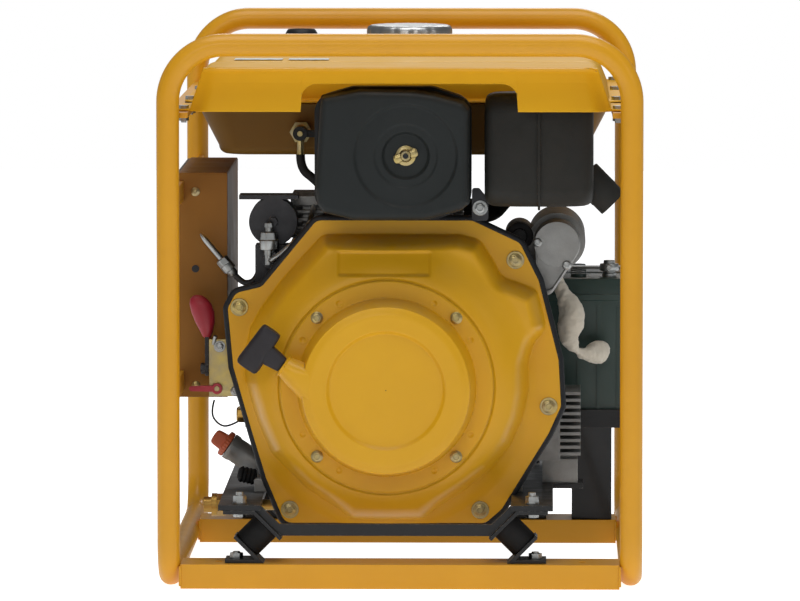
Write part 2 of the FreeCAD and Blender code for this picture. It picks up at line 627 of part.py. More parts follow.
def tank():
    skin = "tank_sheet"
    whole = ("tank_front", "tank_back - tank_front")
    inside = ("tank_front + tank_sheet", "tank_back - tank_front - 2 * tank_sheet")
    flange_x = (f"-({FLANGE_HALF})", FLANGE_HALF)
    flange_y = (FLANGE_FRONT, FLANGE_BACK)

    upper = prism("upper_outside", "XZ", tank_profile("0", "tank_joint", "tank_top", "tank_half", "tank_top_half"),
                  *whole)
    flange = block("upper_flange", flange_x, flange_y, ("tank_joint", "tank_joint + tank_sheet"))
    neck = rod("neck_outside", "z", "neck_dia / 2", "neck_height + tank_sheet",
               ("cap_x", "cap_y", "tank_top - tank_sheet"))
    hollow = prism("upper_inside", "XZ", tank_profile(skin, "tank_joint", "tank_top - tank_sheet", "tank_half",
                                                      "tank_top_half"), *inside)
    mouth = rod("neck_inside", "z", "neck_dia / 2 - 2.5", "neck_height + tank_sheet * 3",
                ("cap_x", "cap_y", "tank_top - tank_sheet * 2"))
    gauge_hole = rod("gauge_hole", "z", "gauge_dia / 2 - 3", "tank_sheet * 3",
                     ("gauge_x", "cap_y", "tank_top - tank_sheet * 2"))
    holes = flange_holes("upper_hole", "tank_joint", "tank_joint + tank_sheet", (1, 2, 3))
    node(cut("tank_upper_shell", fuse("upper_solid", [upper, flange, neck]), [hollow, mouth, gauge_hole] + holes))

    lower = prism("lower_outside", "XZ",
                  tank_profile("0", "tank_floor", "tank_joint", "tank_floor_half", "tank_half"), *whole)
    flange = block("lower_flange", flange_x, flange_y, (RAIL_HIGH, "tank_joint"))
    hollow = prism("lower_inside", "XZ", tank_profile(skin, "tank_floor + tank_sheet", "tank_joint",
                                                      "tank_floor_half", "tank_half"), *inside)
    tap_hole = rod("tap_hole", "y", "5.5", "tank_sheet * 3", (TAP_X, "tank_front - tank_sheet", TAP_Z))
    holes = flange_holes("lower_hole", RAIL_HIGH, "tank_joint", (1, 2, 3))
    node(cut("tank_lower_shell", fuse("lower_solid", [lower, flange]), [hollow, tap_hole] + holes))

    skirt = prism("skirt_outside", "XZ", tank_profile("0", "tank_joint", "tank_top", "tank_half", "tank_top_half"),
                  "skirt_front", f"{SKIRT_BACK} - skirt_front")
    ledges = [block(f"skirt_ledge_{side + 1}",
                    (f"-({FLANGE_HALF})", "-(tank_half - tank_sheet)") if side < 0 else
                    ("tank_half - tank_sheet", FLANGE_HALF),
                    ("skirt_front", SKIRT_BACK), (RAIL_HIGH, "tank_joint")) for side in (-1, 1)]
    hollow = prism("skirt_inside", "XZ", tank_profile(skin, "tank_joint", "tank_top - tank_sheet", "tank_half",
                                                      "tank_top_half"),
                   "skirt_front + tank_sheet", f"{SKIRT_BACK} - skirt_front")
    front = ("skirt_front - 1", "skirt_front + tank_sheet + 1")
    arch = [block("arch_middle", ("arch_left + arch_radius", "arch_right - arch_radius"), front,
                  (RAIL_LOW, "arch_top")),
            block("arch_wide", ("arch_left", "arch_right"), front, (RAIL_LOW, "arch_top - arch_radius"))]
    arch += [rod(f"arch_corner_{number}", "y", "arch_radius", "tank_sheet + 2",
                 (x, "skirt_front - 1", "arch_top - arch_radius"))
             for number, x in enumerate(("arch_left + arch_radius", "arch_right - arch_radius"))]
    holes = flange_holes("skirt_hole", RAIL_HIGH, "tank_joint", (0,))
    node(cut("tank_front_skirt", fuse("skirt_solid", [skirt] + ledges), [hollow] + arch + holes))

    bolts = []
    for side, number, y in bolt_spots():
        tag = f"tank_bolt_{number}_{side + 1}"
        x = f"{side} * ({TANK_BOLT_X})"
        seat = "tank_joint" if number == 0 else "tank_joint + tank_sheet"
        bolts.append(fuse(tag, [
            hexagon(tag + "_head", "z", "10", "4", (x, y, seat)),
            rod(tag + "_shank", "z", TANK_BOLT, f"({seat}) - ({RAIL_LOW}) + 7", (x, y, f"{RAIL_LOW} - 7")),
            hexagon(tag + "_nut", "-z", "10", "5", (x, y, RAIL_LOW))]))
    node(gather("frame_bolts", mount_bolts + bolts))


def tank_fittings():
    seat = "tank_top + neck_height + fit_gap"
    rim = "neck_dia / 2 + fit_gap"
    depth = "cap_height - 7"
    node(turned("fuel_cap", [
        ("0", "0"), (rim, "0"), (rim, f"-({depth})"), ("cap_dia / 2", f"-({depth})"), ("cap_dia / 2", "4"),
        ("cap_dia / 2 - 5", "7"), ("0", "7")], "z", ("cap_x", "cap_y", seat)))
    node(turned("fuel_gauge", [
        ("0", "-22"), ("gauge_dia / 2 - 4", "-22"), ("gauge_dia / 2 - 4", "0"), ("gauge_dia / 2", "0"),
        ("gauge_dia / 2", "20"), ("gauge_dia / 2 - 3", "26"), ("0", "26")], "z", ("gauge_x", "cap_y", "tank_top")))
    node(fuse("fuel_tap", [
        rod("tap_body", "-y", "8", "30", (TAP_X, "tank_front", TAP_Z)),
        hexagon("tap_nut", "-y", "22", "7", (TAP_X, "tank_front", TAP_Z)),
        rod("tap_spigot", "y", "5", "10", (TAP_X, "tank_front", TAP_Z)),
        rod("tap_pin", "-y", "3", "9", (TAP_X, "tank_front - 30", TAP_Z)),
        rod("tap_outlet", "-z", "4", "24", (TAP_X, "tank_front - 20", TAP_Z))]))
    lever = fuse("tap_lever_solid", [
        rod("tap_lever_hub", "-y", "8", "7", (TAP_X, "tank_front - 30 - fit_gap", TAP_Z)),
        block("tap_lever_arm", (TAP_X, f"{TAP_X} + 28"), ("tank_front - 36", "tank_front - 32"),
              (f"{TAP_Z} - 4", f"{TAP_Z} + 4"))])
    node(cut("fuel_tap_lever", lever,
             rod("tap_lever_bore", "-y", "3 + shaft_clearance", "12", (TAP_X, "tank_front - 28", TAP_Z))))


TAP_X, TAP_Z = "-114", "tank_floor + 26"
tank_rails()
tank()
tank_fittings()


# ---------------------------------------------------------------- fan housing and recoil starter

TUB_FRONT = "housing_flange_at - housing_depth"
DOME_FRONT = f"{TUB_FRONT} - dome_depth"
COVER_FRONT = f"{DOME_FRONT} - recoil_depth"
CASE_FRONT = "housing_flange_at + edging_sheet"
EARS = [("-housing_left + 13", "housing_rise * 0.464"), ("housing_right * 0.735", "housing_rise * 0.757"),
        ("housing_right - 14", "-housing_right * 0.135"), ("housing_right * 0.534", "-housing_drop + 15"),
        ("-housing_left * 0.612", "-housing_drop + 15")]
PULL = (-0.82, 0, 0.57)


def housing_outline():
    """The fan housing's edge: eared at the upper left, upper right and right, narrower towards the feet."""
    rise, drop = size("housing_rise"), size("housing_drop")
    left, right = size("housing_left"), size("housing_right")
    x, z = size("crank_x"), size("crank_z")
    shape = [(-0.444 * left, rise), (0.487 * right, rise), (0.762 * right, 0.862 * rise), (0.87 * right, 0.63 * rise),
             (0.985 * right, 0.144 * rise), (right, -0.135 * right), (0.927 * right, -0.363 * drop),
             (0.658 * right, -0.9 * drop), (0.565 * right, -drop), (-0.646 * left, -drop),
             (-0.764 * left, -0.675 * drop),
             (-0.966 * left, 0.094 * rise), (-left, 0.46 * rise), (-0.95 * left, 0.552 * rise),
             (-0.787 * left, 0.591 * rise)]
    return rounded([(x + u, z + v) for u, v in shape], size("housing_corner"))


def ear_places():
    """The ear bolts as numbers, from the crank axis."""
    left, right, rise, drop = (size("housing_" + word) for word in ("left", "right", "rise", "drop"))
    return [(13 - left, rise * 0.464), (right * 0.735, rise * 0.757), (right - 14, -right * 0.135),
            (right * 0.534, 15 - drop), (-left * 0.612, 15 - drop)]


def ear_holes(tag, depth):
    return [rod(f"{tag}_{number}", "y", "ear_bolt / 2 + bolt_clearance", depth,
                (f"crank_x + {u}", "housing_flange_at - housing_sheet * 2", f"crank_z + {v}"))
            for number, (u, v) in enumerate(EARS)]


def fan_housing():
    flange_at, tub = size("housing_flange_at"), size("housing_depth")
    skin, lip, dome = size("housing_sheet"), size("housing_lip"), size("dome_depth")
    axis = V(size("crank_x"), 0, size("crank_z"))
    edge = housing_outline()
    front = V(axis.x, flange_at - tub, axis.z)
    ears = [V(axis.x + u, flange_at - tub - 1, axis.z + v) for u, v in ear_places()]
    pads = [Part.makeCylinder(size("ear_washer") / 2 + 4, tub + 2, ear, V(0, 1, 0)) for ear in ears]
    posts = [Part.makeCylinder(size("ear_washer") / 2 + 4 + skin, tub + 2, ear, V(0, 1, 0)) for ear in ears]
    outer = slab(edge, flange_at - skin, skin)
    outer = outer.fuse(slab(grown(edge, -lip), flange_at - tub, tub - skin).cut(pads))
    outer = outer.fuse(Part.makeCone(size("dome_base"), size("dome_rim"), dome, front, V(0, -1, 0)))
    inner = slab(grown(edge, -lip - skin), flange_at - tub + skin, tub).cut(posts)
    base, rim = size("dome_base") - skin, size("dome_rim") - skin
    inner = inner.fuse(Part.makeCone(base, rim, dome, front + V(0, skin, 0), V(0, -1, 0)))
    mouth = Part.makeCylinder(size("recoil_barrel") + 2, dome + tub, front + V(0, -dome - 1, 0), V(0, 1, 0))
    shell = coded("blower_shell", outer.cut(inner).cut(mouth))
    spots = [rod(f"recoil_hole_{number}", "y", "ear_bolt / 2 + bolt_clearance", "housing_sheet * 3",
                 (x, f"{DOME_FRONT} - housing_sheet", z)) for number, (x, z) in enumerate(recoil_spots())]
    node(cut("blower_housing", shell, ear_holes("ear_hole", "housing_sheet * 4") + spots))

    plate = coded("edging_solid", slab(grown(edge, size("edging_out")), flange_at, size("edging_sheet")))
    window = rod("edging_window", "y", "fan_radius + 6", "edging_sheet * 3",
                 ("crank_x", "housing_flange_at - edging_sheet", "crank_z"))
    rail_inner = "crank_x + mount_half - rail_width / 2 - fit_gap"
    notch = block("edging_notch", (rail_inner, f"{rail_inner} + rail_width"),
                  ("housing_flange_at - 1", "housing_flange_at + edging_sheet + 1"),
                  (f"{RAIL_UNDER} - fit_gap", "rail_top + fit_gap"))
    node(cut("engine_side_plate", plate, [window, notch] + ear_holes("edging_hole",
                                                                     "housing_sheet * 2 + edging_sheet * 2")))


def recoil_spots():
    half = "recoil_bolts / 2"
    return [(f"crank_x + {u} * {half}", f"crank_z + {v} * {half}") for u in (-1, 1) for v in (-1, 1)]


def recoil_starter():
    skin = "recoil_sheet"
    cover = turned("recoil_pressing", [
        ("recoil_flange", "0"), ("recoil_flange", skin), ("recoil_barrel", skin),
        ("recoil_barrel - 4", "recoil_depth"), ("recoil_ring", "recoil_depth"),
        ("recoil_ring - 3", "recoil_depth - 4"), ("0", "recoil_depth - 4"),
        ("0", f"recoil_depth - 4 - {skin}"), (f"recoil_ring - 3 + {skin} / 2", f"recoil_depth - 4 - {skin}"),
        (f"recoil_ring + {skin} / 2", f"recoil_depth - {skin}"),
        (f"recoil_barrel - 4 - {skin}", f"recoil_depth - {skin}"), (f"recoil_barrel - {skin}", "0")],
        "-y", ("crank_x", DOME_FRONT, "crank_z"))
    hood = taper("rope_hood", PULL, "15", "11", "30", ROPE_ROOT)
    post = rod("recoil_post", "y", "9", "recoil_depth - 27", ("crank_x", f"{COVER_FRONT} + 4", "crank_z"))
    inside = rod("recoil_hollow", "y", f"recoil_barrel - 4 - {skin}", "recoil_depth", ("crank_x",
                 f"{COVER_FRONT} + {skin} * 3 + 1", "crank_z"))
    guide = rod("rope_guide", PULL, "rope_dia / 2 + 1.5", "60", ROPE_ROOT)
    clear = cut("rope_hood_trimmed", hood, [inside, guide])
    holes = [rod(f"cover_hole_{number}", "y", "ear_bolt / 2 + bolt_clearance", "recoil_sheet * 3",
                 (x, f"{DOME_FRONT} - recoil_sheet * 2", z)) for number, (x, z) in enumerate(recoil_spots())]
    mouth = rod("rope_mouth", PULL, "rope_dia / 2 + 1.5", "40", (ROPE_ROOT[0], ROPE_ROOT[1], ROPE_ROOT[2]))
    node(cut("recoil_cover", fuse("recoil_solid", [cover, clear, post]), holes + [mouth]))

    groove = "pulley_radius"
    node(turned("recoil_pulley", [
        ("9 + shaft_clearance", "-7"), (f"{groove} + 8", "-7"), (f"{groove} + 8", "-5"), (groove, "-4"),
        (groove, "4"), (f"{groove} + 8", "5"), (f"{groove} + 8", "7"), ("9 + shaft_clearance", "7")],
        "y", ("crank_x", PULLEY_Y, "crank_z")))
    wound = doc.addObject("Part::Torus", "recoil_rope")
    bind(wound, Radius1="pulley_radius + rope_dia / 2 + 0.1", Radius2="rope_dia / 2")
    place(wound, ("crank_x", PULLEY_Y, "crank_z"), along((0, 1, 0)))
    node(wound)

    grip_dir = (0.57, 0, 0.82)
    stem = taper("grip_stem", PULL, "8", "11", "22", off_root(30.5))
    bar = rod("grip_bar", grip_dir, "grip_dia / 2", "grip_length", off_root(63, -26))
    web = taper("grip_web", PULL, "11", "13", "10", off_root(50))
    node(fuse("recoil_handle", [stem, web, bar]))


def off_root(reach, across=0):
    """A point along the rope from its root in the cover, and across the grip."""
    x = PULL[0] * reach + 0.57 * across
    z = PULL[2] * reach + 0.82 * across
    return (f"{ROPE_ROOT[0]} + {x:.3f}", ROPE_ROOT[1], f"{ROPE_ROOT[2]} + {z:.3f}")


PULLEY_Y = f"{COVER_FRONT} + 16"
ROPE_ROOT = ("crank_x - 88", PULLEY_Y, "crank_z + 9")


def engine_bolts():
    """Hexagon bolts with washers in the ears, small ones in the recoil cover, and the air cleaner's washer."""
    bolts = []
    for number, (u, v) in enumerate(EARS):
        tag = f"ear_bolt_{number}"
        x, z = f"crank_x + {u}", f"crank_z + {v}"
        face = "housing_flange_at - housing_sheet"
        bolts.append(fuse(tag, [
            rod(tag + "_washer", "-y", "ear_washer / 2", "1.6", (x, face, z)),
            hexagon(tag + "_head", "-y", "ear_bolt * 1.67", "ear_bolt * 0.67", (x, f"{face} - 1.6", z)),
            rod(tag + "_shank", "y", "ear_bolt / 2", "housing_sheet + edging_sheet + 4", (x, face, z))]))
    for number, (x, z) in enumerate(recoil_spots()):
        tag = f"recoil_bolt_{number}"
        face = f"{DOME_FRONT} - recoil_sheet"
        bolts.append(fuse(tag, [
            hexagon(tag + "_head", "-y", "ear_bolt * 1.9", "ear_bolt * 0.67", (x, face, z)),
            rod(tag + "_shank", "y", "ear_bolt / 2", "recoil_sheet + housing_sheet + 5", (x, face, z))]))
    washer = cut("cleaner_washer",
                 rod("cleaner_washer_disc", "y", "11", "1.6", ("dish_x", DISH_FLOOR + " - 1.6", "dish_z")),
                 rod("cleaner_washer_hole", "y", "stud_dia / 2 + 0.3", "4",
                     ("dish_x", DISH_FLOOR + " - 3", "dish_z")))
    node(gather("engine_bolts", bolts + [washer]))


DISH_FLOOR = "cleaner_front + dish_depth"
COVER_BACK = "cleaner_front + cleaner_depth"
fan_housing()
recoil_starter()
engine_bolts()


# ---------------------------------------------------------------- engine

def flywheel():
    plate = "housing_flange_at - 4"
    disc = rod("fan_disc", "-y", "fan_radius", "22", ("crank_x", plate, "crank_z"))
    blades = []
    for number in range(16):
        turn = 360 / 16 * number
        blade = doc.addObject("Part::Box", f"fan_blade_{number}")
        bind(blade, Length="fan_radius * 0.34", Width="10", Height="4")
        where = FreeCAD.Rotation(V(0, 1, 0), turn)
        blade.Placement = FreeCAD.Placement(V(0, 0, 0), where)
        reach = "fan_radius * 0.6"
        blade.setExpression("Placement.Base.x", bound(f"crank_x + {reach} * cos({turn}deg)"))
        blade.setExpression("Placement.Base.y", bound(f"{plate} - 32"))
        blade.setExpression("Placement.Base.z", bound(f"crank_z - {reach} * sin({turn}deg)"))
        blades.append(blade)
    bore = rod("fan_bore", "y", "shaft_dia / 2", "90", ("crank_x", f"{plate} - 40", "crank_z"))
    node(cut("flywheel_fan", fuse("fan_solid", [disc] + blades), bore))


def crankshaft():
    throw = "stroke / 2"
    web = "14"
    gap = "30"
    inner = f"cylinder_y - {gap} / 2 - {web}"
    outer = f"cylinder_y + {gap} / 2"
    front = "housing_flange_at - 30"
    node(fuse("crankshaft", [
        rod("crank_nose", "y", "shaft_dia / 2", f"({inner}) - ({front})", ("crank_x", front, "crank_z")),
        rod("crank_web_front", "y", "52", web, ("crank_x", inner, "crank_z")),
        rod("crank_pin", "y", "18", gap, ("crank_x", f"{inner} + {web}", f"crank_z + {throw}")),
        rod("crank_web_back", "y", "52", web, ("crank_x", outer, "crank_z")),
        rod("crank_tail", "y", "shaft_dia / 2", f"(alternator_front + 4) - (({outer}) + {web})",
            ("crank_x", f"{outer} + {web}", "crank_z"))]))


def crankcase():
    body = block("case_body", ("crank_x - case_left", "crank_x + case_right"), (CASE_FRONT, "case_back"),
                 ("rail_top", "case_top"))
    sump = block("case_sump", ("crank_x - 112", "crank_x + 100"), (f"{CASE_FRONT} + 20", "case_back - 20"),
                 ("rail_top - sump_drop", "rail_top"))
    feet = block("case_feet", ("crank_x - 150", "crank_x + 150"), (f"{CASE_FRONT} + 20", "case_back - 20"),
                 ("rail_top", "rail_top + 13"))
    side = "crank_x + case_right"
    pod = block("case_pod", (side, f"{side} + 64"), ("-108", "-20"), ("rail_top + 27", "rail_top + 115"))
    pod_foot = block("case_pod_foot", (f"{side} + 44", f"{side} + 84"), ("-88", "-48"), ("rail_top", "rail_top + 27"))
    fins = [block(f"case_fin_{number}", (f"{side} + 64", f"{side} + 87"), ("-108", "-20"),
                  (f"rail_top + 33 + {number} * side_fin_pitch", f"rail_top + 33 + {number} * side_fin_pitch + 3.5"))
            for number in range(int(size("side_fins")))]
    neck = rod("oil_neck", OIL_DIR, "13", OIL_REACH, OIL_ROOT)
    wet = [rod("case_hollow", "y", "62", "76", ("crank_x", "cylinder_y - 38", "crank_z")),
           rod("case_bore", "z", "bore / 2 + 2", "case_top - crank_z", ("cylinder_x", "cylinder_y", "crank_z + 10")),
           rod("case_bearings", "y", "shaft_dia / 2 + shaft_clearance", "frame_length", ("crank_x",
               f"{CASE_FRONT} - 10", "crank_z"))]
    node(cut("crankcase", fuse("case_solid", [body, sump, feet, pod, pod_foot, neck] + fins), wet))


OIL_DIR = (-0.83, 0, 0.5578)
OIL_ROOT = ("crank_x - case_left + 8", "-120", "rail_top + 8")
OIL_REACH = "66"


def cylinder():
    middle = ("cylinder_x", "cylinder_y")
    core = rod("barrel_core", "z", "bore / 2 + 9", "barrel_top - case_top", (*middle, "case_top"))
    fins = [rod(f"barrel_fin_{number}", "z", "barrel_radius", "fin_sheet",
                (*middle, f"case_top + 6 + {number} * fin_pitch")) for number in range(6)]
    node(cut("cylinder_barrel", fuse("barrel_solid", [core] + fins),
             rod("barrel_bore", "z", "bore / 2", "200", (*middle, "case_top - 50"))))
    node(rod("piston", "z", "bore / 2 - shaft_clearance", "60", (*middle, "barrel_top - 62")))
    x, y = ("cylinder_x - 84", "cylinder_x + 84"), ("cylinder_y - 47", "cylinder_y + 47")
    core = block("head_core", x, y, ("barrel_top", "head_top"))
    fins = [block(f"head_fin_{number}", ("cylinder_x - 97", "cylinder_x + 97"),
                  ("cylinder_y - 55", "cylinder_y + 55"),
                  (f"barrel_top + {number} * fin_pitch", f"barrel_top + {number} * fin_pitch + fin_sheet"))
            for number in range(6)]
    lid = block("head_lid", ("cylinder_x - 97", "cylinder_x + 97"), ("cylinder_y - 55", "cylinder_y + 55"),
                ("head_top - 7", "head_top"))
    node(fuse("cylinder_head", [core, lid] + fins))
    node(block("rocker_cover", ("cylinder_x - 62", "cylinder_x + 62"), ("cylinder_y - 44", "cylinder_y + 44"),
               ("head_top", "head_top + 34")))


def air_cleaner():
    half, floor = size("cleaner_width") / 2, size("cleaner_floor")
    top = floor + size("cleaner_height")
    x = size("cleaner_x")
    wall, corner = size("cleaner_wall"), size("cleaner_corner")
    front, deep, back = size("cleaner_front"), size("cleaner_depth"), size("cleaner_base")
    edge = rounded([(x - half, floor + 12), (x - half + 38, floor), (x + half - 38, floor), (x + half, floor + 14),
                    (x + half, top - 14), (x + half - 42, top), (x - half + 42, top), (x - half, top - 12)], corner)
    shell = slab(edge, front, deep)
    dish = Part.makeCylinder(size("dish_radius"), size("dish_depth"), V(size("dish_x"), front, size("dish_z")),
                             V(0, 1, 0))
    floor_at = front + size("dish_depth") + wall
    hollow = slab(grown(edge, -wall), floor_at, front + deep - floor_at)
    cover = coded("cleaner_cover_shell", shell.cut(dish).cut(hollow))
    hole = rod("cleaner_cover_hole", "y", "stud_dia / 2 + bolt_clearance", "cleaner_depth",
               ("dish_x", "cleaner_front - 2", "dish_z"))
    node(cut("air_cleaner_cover", cover, hole))
    pan = coded("cleaner_base_pan", slab(edge, front + deep, back))
    base_back = f"{COVER_BACK} + cleaner_base"
    head_face = "cylinder_y - 55"
    duct = rod("intake_duct", "y", "20", f"({head_face} - 16) - ({base_back})", ("cylinder_x + 20", base_back,
               "cleaner_floor + 22"))
    port = block("intake_port", ("cylinder_x - 2", "cylinder_x + 42"), (f"{head_face} - 16", head_face),
                 ("barrel_top + 10", "cleaner_floor + 44"))
    stud = rod("cleaner_stud", "-y", "stud_dia / 2", "cleaner_depth + 3", ("dish_x", COVER_BACK, "dish_z"))
    node(fuse("air_cleaner_base", [pan, duct, port, stud]))
    element = rod("element_outside", "y", "52", f"({COVER_BACK}) - ({DISH_FLOOR}) - cleaner_wall - 1",
                  ("dish_x", f"{DISH_FLOOR} + cleaner_wall + 1", "dish_z"))
    node(cut("air_filter_element", element,
             rod("element_inside", "y", "30", "cleaner_depth", ("dish_x", "cleaner_front", "dish_z"))))
    nut = fuse("wing_nut_solid", [
        rod("wing_nut_hub", "-y", "6.5", "8", ("dish_x", f"{DISH_FLOOR} - 2", "dish_z")),
        block("wing_nut_wings", ("dish_x - 14", "dish_x + 14"), (f"{DISH_FLOOR} - 10", f"{DISH_FLOOR} - 4"),
              ("dish_z - 1.5", "dish_z + 1.5"))])
    node(cut("wing_nut", nut, rod("wing_nut_bore", "y", "stud_dia / 2 + shaft_clearance", "30",
                                  ("dish_x", "cleaner_front - 10", "dish_z"))))


def muffler():
    low, high, near, far = (size("muffler_" + word) for word in ("floor", "top", "front", "back"))
    left, right, skin = size("muffler_left"), size("muffler_right"), size("muffler_sheet")
    edge = rounded([(near, low), (far, low), (far, high), (near, high)], size("muffler_corner"))
    seam = (left + right) / 2
    can = slab(edge, -right, right - left).fuse(slab(grown(edge, 4), -seam - skin, 2 * skin))
    hollow = slab(grown(edge, -skin), -right + skin, right - left - 2 * skin)
    spigot_dir = V(1, 0, -1)
    root = V(right - 9, (near + far) / 2, low + 33)
    radius = size("outlet_dia") / 2
    for shape in (can, hollow):
        shape.rotate(V(0, 0, 0), V(0, 0, 1), 90)
    pipe = Part.makeCylinder(radius, size("outlet_length"), root, spigot_dir)
    collar = Part.makeCylinder(radius + size("outlet_collar_step"), size("outlet_collar"), root, spigot_dir)
    bore = Part.makeCylinder(radius - skin, size("outlet_length") + 18, root - spigot_dir * 2, spigot_dir)
    box = coded("muffler_box", can.fuse([pipe, collar]).cut(hollow).cut(bore))
    side = size("cylinder_x") + 97
    head_y, level = size("cylinder_y"), size("head_top") - 20
    elbow_pipe = route("exhaust_elbow", [
        (side, head_y, level), (side + 30, head_y, level), (side + 56, head_y - 30, level + 32),
        (side + 66, head_y - 66, level + 48), (side + 66, far, level + 48)], 14)
    node(gather("muffler", [box, elbow_pipe]))


def starter_motor():
    x, z = "crank_x + 188", "crank_z + 153"
    node(fuse("starter_motor", [
        rod("starter_body", "y", "32", "128", (x, "-150", z)),
        rod("starter_nose", "y", "25", "45", (x, "-195", z)),
        taper("starter_cap", "y", "32", "26", "10", (x, "-22", z)),
        block("starter_foot", ("crank_x + 100", f"{x} - 20"), ("-140", "-100"), ("case_top", f"{z} - 10")),
        rod("starter_solenoid", "y", "16", "70", (f"{x} - 42", "-150", f"{z} + 6"))]))


def injection_pump():
    x = "crank_x - 129"
    node(fuse("injection_pump", [
        block("pump_base", (f"{x} - 20", f"{x} + 20"), ("-172", "-133"), ("case_top", "case_top + 66")),
        rod("pump_drum", "y", "27", "38", (x, "-172", "case_top + 92")),
        hexagon("pump_drum_bolt", "-y", "10", "5", (x, "-172", "case_top + 92")),
        hexagon("pump_nut", "-y", "18", "16", (f"{x} - 2", "-172", "case_top + 50")),
        block("pump_plate", (f"{x} - 38", f"{x} + 28"), ("-172", "-134"), ("case_top + 117", "case_top + 122"))]))
    level = size("case_top") + 50
    near = size("crank_x") - 131
    node(route("injector_line", [(near, -188, level), (near, -200, level), (near + 16, -206, level + 12),
                                 (near + 40, -200, level + 34), (near + 46, -172, level + 52),
                                 (near + 46, size("cylinder_y") - 55, level + 56)], 3))
    inlet = size("case_top") + 38
    node(route("fuel_hose", [(-114, size("tank_front") - 20, size("tank_floor") + 2),
                             (-114, size("tank_front") - 20, size("tank_floor") - 14),
                             (-98, -180, size("tank_floor") - 26), (-84, -176, size("tank_floor") - 42),
                             (-84, -168, inlet + 42), (-86, -160, inlet + 8), (-104, -154, inlet),
                             (size("crank_x") - 108.7, -154, inlet)], 5))


LEVER_Y = "-176"


def left_side_controls():
    face = "crank_x - case_left"
    bracket = fuse("lever_bracket_solid", [
        block("lever_bracket_arm", (f"{face} - 66", face), ("-192", "-188"), ("crank_z - 18", "crank_z + 46")),
        block("lever_bracket_plate", (f"{face} - 66", f"{face} - 63"), ("-192", "-162"),
              ("crank_z - 18", "crank_z + 46")),
        rod("lever_pin", "-x", "4", "12", (f"{face} - 63", LEVER_Y, "crank_z + 12")),
        rod("stop_pin", "-y", "3", "10", (f"{face} - 57", "-188", "crank_z - 9"))])
    node(cut("lever_bracket", bracket, [rod("lever_bracket_hole", "y", "3", "20",
                                            (f"{face} - 20", "-200", "crank_z + 30"))]))
    arm = f"{face} - 67"
    lever = fuse("speed_lever_solid", [
        block("speed_lever_arm", (f"{arm} - 4", arm), (f"{LEVER_Y} - 7", f"{LEVER_Y} + 7"),
              ("crank_z + 12", "crank_z + 60")),
        rod("speed_lever_hub", "-x", "8.5", "4", (arm, LEVER_Y, "crank_z + 12")),
        taper("speed_lever_knob", (-0.1, 0, 1), "7", "13", "20", (f"{arm} - 2", LEVER_Y, "crank_z + 58")),
        taper("speed_lever_knob_top", (-0.1, 0, 1), "13", "6", "12", (f"{arm} - 4", LEVER_Y, "crank_z + 77.5"))])
    node(cut("speed_control_lever", lever, rod("speed_lever_bore", "-x", "4 + shaft_clearance", "20",
                                               (f"{face} - 60", LEVER_Y, "crank_z + 12"))))
    stop = fuse("stop_lever_solid", [
        rod("stop_lever_hub", "-y", "6", "5", (f"{face} - 57", "-192.4", "crank_z - 9")),
        block("stop_lever_finger", (f"{face} - 88", f"{face} - 57"), ("-197", "-193"),
              ("crank_z - 12", "crank_z - 6"))])
    node(cut("stop_lever", stop, rod("stop_lever_bore", "y", "3 + shaft_clearance", "12",
                                     (f"{face} - 57", "-200", "crank_z - 9"))))
    tip = tuple(f"{root} + {OIL_REACH} * {part}" for root, part in zip(OIL_ROOT, OIL_DIR))
    cap = rod("oil_cap_flange", OIL_DIR, "15", "6", tuple(f"{value} + fit_gap * {part}" for value, part
                                                           in zip(tip, OIL_DIR)))
    wing = block("oil_cap_wing", ("-9", "9"), ("-3", "3"), ("5", "20"))
    place(wing, tuple(f"{value} + 5 * {part} - 9 * {across}" for value, part, across
                      in zip(tip, OIL_DIR, (0.5578, 0, 0.83))), FreeCAD.Rotation(V(0.5578, 0, 0.83), V(0, 1, 0),
                                                                             V(*OIL_DIR), "XYZ"))
    node(fuse("oil_filler_cap", [cap, wing]))
    sump = "crank_x - 112"
    level = "rail_top - 19"
    node(fuse("oil_drain_plug", [
        rod("drain_pipe", "-x", "6", "72", (sump, "-150", level)),
        hexagon("drain_hex", "-x", "22", "9", (f"{sump} - 72", "-150", level)),
        rod("drain_flange", "-x", "13", "6", (f"{sump} - 81", "-150", level)),
        rod("drain_head", "-x", "9", "9", (f"{sump} - 87", "-150", level))]))


flywheel()
crankshaft()
crankcase()
cylinder()
air_cleaner()
muffler()
starter_motor()
injection_pump()
left_side_controls()


# ---------------------------------------------------------------- alternator

